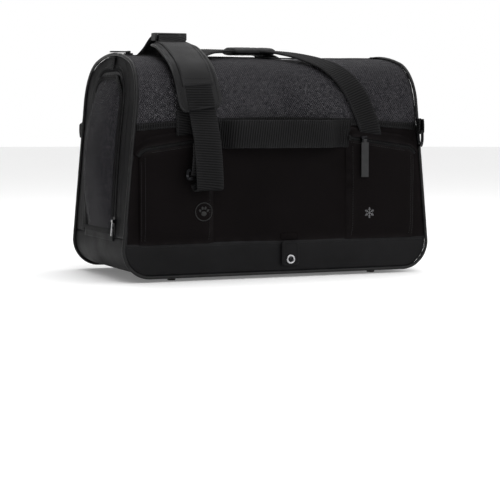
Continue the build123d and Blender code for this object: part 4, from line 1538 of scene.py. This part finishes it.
# ---- shoulder strap --------------------------------------------------------------------------
PAD_ROUTE = [
    (-123.0, -15.0, 317.5),
    (-124.5, -30.0, 316.0),
    (-125.5, -47.0, 312.6),
    (-126.0, -64.0, 306.4),
    (-126.0, -84.0, 297.2),
    (-125.5, -101.0, 286.2),
    (-124.5, -111.5, 273.3),
    (-123.0, -118.4, 256.8),
    (-121.0, -121.9, 241.0),
    (-119.5, -123.6, 229.4),
]
TAIL_ROUTE = [  # down in front, round under the fold, and up behind to the hook's eye
    (-119.3, -123.9, 228.6),
    (-119.0, -124.3, 226.4),
    (-117.5, -130.4, 208.0),
    (-116.0, -136.6, 185.0),
    (-114.5, -139.4, 155.0),
    (-113.5, -139.4, 128.0),
    (-113.8, -137.6, 124.2),
    (-114.5, -134.3, 122.8),
    (-115.5, -131.0, 124.2),
    (-116.5, -129.4, 128.0),
    (-119.0, -129.4, 135.4),
]
FAR_ROUTE = [
    (-158.4, 129.0, 262.8),
    (-151.0, 127.0, 271.5),
    (-143.0, 119.0, 280.0),
    (-135.5, 106.0, 288.5),
    (-129.0, 89.0, 297.0),
    (-124.0, 71.0, 305.5),
    (-121.0, 53.0, 315.0),
    (-120.0, 36.0, 324.5),
    (-120.0, 23.0, 329.0),
    (-120.0, 12.0, 329.6),
    (-120.0, -1.0, 329.6),
    (-120.0, -9.0, 329.3),
    (-121.0, -14.5, 325.5),
    (-122.5, -19.0, 321.0),
    (-123.0, -26.0, 318.6),
]
# degrees the webbing's face is turned up
FAR_TURN = (0, 12, 30, 47, 57, 64, 69, 76, 86, 90, 90, 100, 122, 122, 105)
HEM_RUN = 32.0  # from the pad's lower end up to the hem of its sleeve
PAD_EDGES = [
    (-1.0, 0.22), (-0.97, 0.42), (-0.9, 0.55), (-0.86, 0.5), (-0.82, 0.62), (-0.6, 0.92), (-0.3, 1.0),
    (0.0, 1.02)
]
PAD_EDGES += [(-share, full) for share, full in PAD_EDGES[-2::-1]]


def belt_normals(points):
    """Outward normals of a belt whose width lies along X."""
    return [Vector((1, 0, 0)).cross(way) * -1 for way in tangents_of(points)]


def shoulder_pad():
    """Padded and piped, with a narrower sleeve over it, and the webbing out of the sleeve's hem."""
    points, _ = route_through(PAD_ROUTE, 3.0)
    normals = belt_normals(points)
    runs = lengths_along(points)
    widths = []
    for run in runs:
        end = min(run, runs[-1] - run)
        widths.append(PAD_WIDE - 1.0 - 12.0 * max(0.0, 1 - end / 12.0) ** 2)
    pad = ribbon(points, normals, widths, 8.2, PAD_EDGES, ripple_mm=0.7)
    piece = add_piece("pad_sleeve", [pad], "pad_fabric", "bag", stands_for=["shoulder_pad"])
    edges = [tube(row, 1.7, 8, wear=0.6) for row, _ in edge_row(points, normals, widths, 0.4, 0.0)]
    edges += [
        tube([row_a, row_b], 1.7, 8, wear=0.6)
        for row_a, row_b in pad_corners(points, normals, widths)
    ]
    add_piece("pad_piping", edges, "piping", "bag")
    hem = next(i for i, run in enumerate(runs) if run > runs[-1] - HEM_RUN)
    over = [point + normal * 3.9 for point, normal in zip(points, normals)]
    cover = ribbon(over[: hem + 1], normals[: hem + 1], PAD_WIDE - 17.0, 1.8, ripple_mm=0.5)
    add_piece("pad_cover", [cover], "pad_fabric", "bag")
    rows = [stitches(row, ns, lift=0.25) for row, ns in edge_row(points, normals, widths, 3.8, 4.6)]
    rows += [
        stitches(row, ns)
        for row, ns in edge_row(over[: hem + 1], normals, [PAD_WIDE - 17.0] * (hem + 1), 2.2, 2.0)
    ]
    for back in (1, 3):
        row = [over[hem - back] + Vector((a, 0, 0)) + normals[hem] * 1.1 for a in np.linspace(-19, 19, 13)]
        rows.append(stitches(row, [normals[hem]] * len(row)))
    add_piece("pad_stitching", rows, "thread", "bag")
    low = [point + normal * 3.2 for point, normal in zip(points[hem - 2 :], normals[hem - 2 :])]
    low[-1] = points[-1] + normals[-1] * 1.6
    add_piece("pad_webbing", [ribbon(low, normals[hem - 2 :], STRAP_WIDE, WEB)], "webbing", "bag")


def pad_corners(points, normals, widths):
    """Both ends of the pad, from edge to edge."""
    ends = []
    rows = [row for row, _ in edge_row(points, normals, widths, 0.4, 0.0)]
    for at in (0, -1):
        ends.append((rows[0][at], rows[1][at]))
    return ends


def belt_along(points, width, thick):
    return ribbon(points, belt_normals(points), width, thick)


def strap_tail():
    """Webbing from under the pad down to the hook's eye, folded back behind itself."""
    points, _ = route_through(TAIL_ROUTE, 2.5)
    add_piece(
        "tail_webbing", [belt_along(points, STRAP_WIDE, WEB)], "webbing", "strap_tail",
        stands_for=["strap_tail"]
    )
    fold = [
        (-119.5, -130.6, 141.0), (-119.0, -134.6, 150.0), (-118.0, -136.2, 168.0), (-117.5, -134.6, 184.0)
    ]
    points, _ = route_through(fold, 2.5)
    add_piece("tail_fold", [belt_along(points, STRAP_WIDE - 1.0, 1.8)], "webbing", "strap_tail")


def strap_far():
    """Two layers of webbing from the far hook, up over the roof, through the tri-glide, to the pad."""
    points, places = route_through(FAR_ROUTE, 3.0)
    turns = [math.radians(t) for t in np.interp(places, range(len(FAR_TURN)), FAR_TURN)]
    normals = [Vector((0, math.cos(turn), math.sin(turn))) for turn in turns]
    layers = []
    ways = tangents_of(points)
    for lift, wide in ((-1.3, STRAP_WIDE - 0.6), (1.3, STRAP_WIDE)):
        row = []
        for point, normal, way in zip(points, normals, ways):
            across = way.cross(normal).normalized()
            row.append(point + across.cross(way).normalized() * lift)
        layers.append(ribbon(row, normals, wide, 2.3))
    add_piece("strap_webbing_far", layers, "webbing", "bag", stands_for=["strap_far"])


# ---- mat -------------------------------------------------------------------------------------
def mat():
    """Fleece mat, crowned and quilted, with a bound edge."""
    low, high = mm_box("mat")
    half_x, half_y = (high.x - low.x) / 2, (high.y - low.y) / 2
    corner = 22.0

    def outline(size):
        ring = []
        for sx, sy, start in ((1, 1, 0.0), (-1, 1, math.pi / 2), (-1, -1, math.pi), (1, -1, 1.5 * math.pi)):
            cx, cy = sx * (half_x - corner), sy * (half_y - corner)
            for k in range(10):
                a = start + k / 9 * math.pi / 2
                ring.append((cx + corner * math.cos(a), cy + corner * math.sin(a)))
        dense = []
        for a, b in zip(ring, ring[1:] + ring[:1]):
            parts = max(1, int(math.hypot(b[0] - a[0], b[1] - a[1]) / 9.0))
            dense += [
                (a[0] + (b[0] - a[0]) * k / parts, a[1] + (b[1] - a[1]) * k / parts)
                for k in range(parts)
            ]
        return [(x * size, y * size) for x, y in dense]

    tall = high.z - low.z
    layers = [(0.0, -1), (0.3, -1), (0.6, -1), (0.85, -1), (0.97, -0.95), (1.0, -0.5), (1.0, 0.1)]
    layers += [
        (0.97, 0.45), (0.93, 0.75), (0.85, 0.92), (0.72, 0.98), (0.6, 1), (0.45, 1), (0.3, 1), (0.15, 1),
        (0.02, 1)
    ]
    sections, uvs = [], []
    for size, level in layers:
        ring = []
        for x, y in outline(max(size, 0.02)):
            z = (low.z + high.z) / 2 + level * (tall / 2 - 0.8)
            if level > 0.9:
                z += 0.8 * ripple((x, y, 0), 30.0, 51.0)
                z -= 2.2 * math.exp(-(((abs(x) - 62.0) / 4.0) ** 2))
            ring.append(Vector((x, y, z)))
            uvs.append((x, y))
        sections.append(ring)
    pad = loft(sections, uvs, [0.0] * len(uvs))
    piece = add_piece("fleece_mat", [pad], "fleece", "bag", stands_for=["mat"])


# ---- CAD pieces that stay --------------------------------------------------------------------
def dress_cad_pieces():
    """Gives every CAD piece that still shows its material, and softens its edges."""
    slots = {entry["node"]: entry["material_slot"] for entry in frame["record"]["subparts"]}
    for name, node in frame["nodes"].items():
        if node.hide_render:
            continue
        node.data.materials.clear()
        node.data.materials.append(MATERIALS[slots[name]])
        bevel = node.modifiers.new("soft_edges", "BEVEL")
        bevel.width = 0.35 * MM
        bevel.segments = 2
        bevel.limit_method = "ANGLE"
        bevel.angle_limit = math.radians(40)


# ---- studio ----------------------------------------------------------------------------------
def studio():
    mesh = bpy.data.meshes.new("floor")
    disc_mesh = bmesh.new()
    bmesh.ops.create_circle(disc_mesh, cap_ends=True, segments=96, radius=9.0)
    disc_mesh.to_mesh(mesh)
    disc_mesh.free()
    floor = bpy.data.objects.new("floor", mesh)
    bpy.context.scene.collection.objects.link(floor)
    n = Nodes("floor")
    n.finish(n.ramp(n.noise(3.0), 0.3, 0.7, (0.90, 0.90, 0.90), (0.92, 0.92, 0.92)), 0.8)
    n.shader.inputs["Emission Color"].default_value = (1.0, 1.0, 1.0, 1.0)
    n.shader.inputs["Emission Strength"].default_value = 0.16
    mesh.materials.append(n.material)
    world = bpy.data.worlds.new("studio")
    world.use_nodes = True
    background = world.node_tree.nodes["Background"]
    background.inputs[0].default_value = (1.0, 1.0, 1.0, 1.0)
    # the surroundings are darker towards the left, so that the left end stays as dark as the near side
    direction = world.node_tree.nodes.new("ShaderNodeTexCoord")
    parts = world.node_tree.nodes.new("ShaderNodeSeparateXYZ")
    flag = world.node_tree.nodes.new("ShaderNodeMapRange")
    world.node_tree.links.new(direction.outputs["Generated"], parts.inputs[0])
    world.node_tree.links.new(parts.outputs[0], flag.inputs["Value"])
    flag.inputs["From Min"].default_value = -0.7
    flag.inputs["From Max"].default_value = 0.0
    flag.inputs["To Min"].default_value = 0.12
    flag.inputs["To Max"].default_value = 1.0
    world.node_tree.links.new(flag.outputs[0], background.inputs[1])
    bpy.context.scene.world = world
    for name, place, size, power in (
        ("key", (-0.2, -2.0, 1.5), 1.0, 11.0),
        ("fill", (1.6, -1.6, 0.9), 1.2, 8.0),
        ("top", (0.1, 0.2, 2.0), 1.4, 20.0),
    ):
        light = bpy.data.lights.new(name, "AREA")
        light.size = size
        light.energy = power
        lamp = bpy.data.objects.new(name, light)
        bpy.context.scene.collection.objects.link(lamp)
        lamp.location = place
        aim = Vector((0.0, 0.0, 0.17)) - Vector(place)
        lamp.rotation_euler = aim.to_track_quat("-Z", "Y").to_euler()
    bpy.context.scene.view_settings.view_transform = "Standard"


def camera():
    data = bpy.data.cameras.new("camera")
    data.sensor_width = 36.0
    data.lens = 116.0
    data.clip_start, data.clip_end = 0.1, 60.0
    obj = bpy.data.objects.new("camera", data)
    bpy.context.scene.collection.objects.link(obj)
    yaw, pitch = math.radians(22.7), math.radians(4.8)
    way = Vector((math.sin(yaw) * math.cos(pitch), math.cos(yaw) * math.cos(pitch), -math.sin(pitch)))
    obj.location = to_row((-886.0, -2122.0, 222.0))
    obj.rotation_euler = way.to_track_quat("-Z", "Y").to_euler()
    bpy.context.scene.camera = obj


camera()
studio()
long_sides()
under()
doors()
seam()
roof_zip()
pockets()
trolley_strap()
snap_tab()
handles()
handle_wrap()
ring_tabs()
shoulder_pad()
strap_tail()
strap_far()
mat()
dress_cad_pieces()
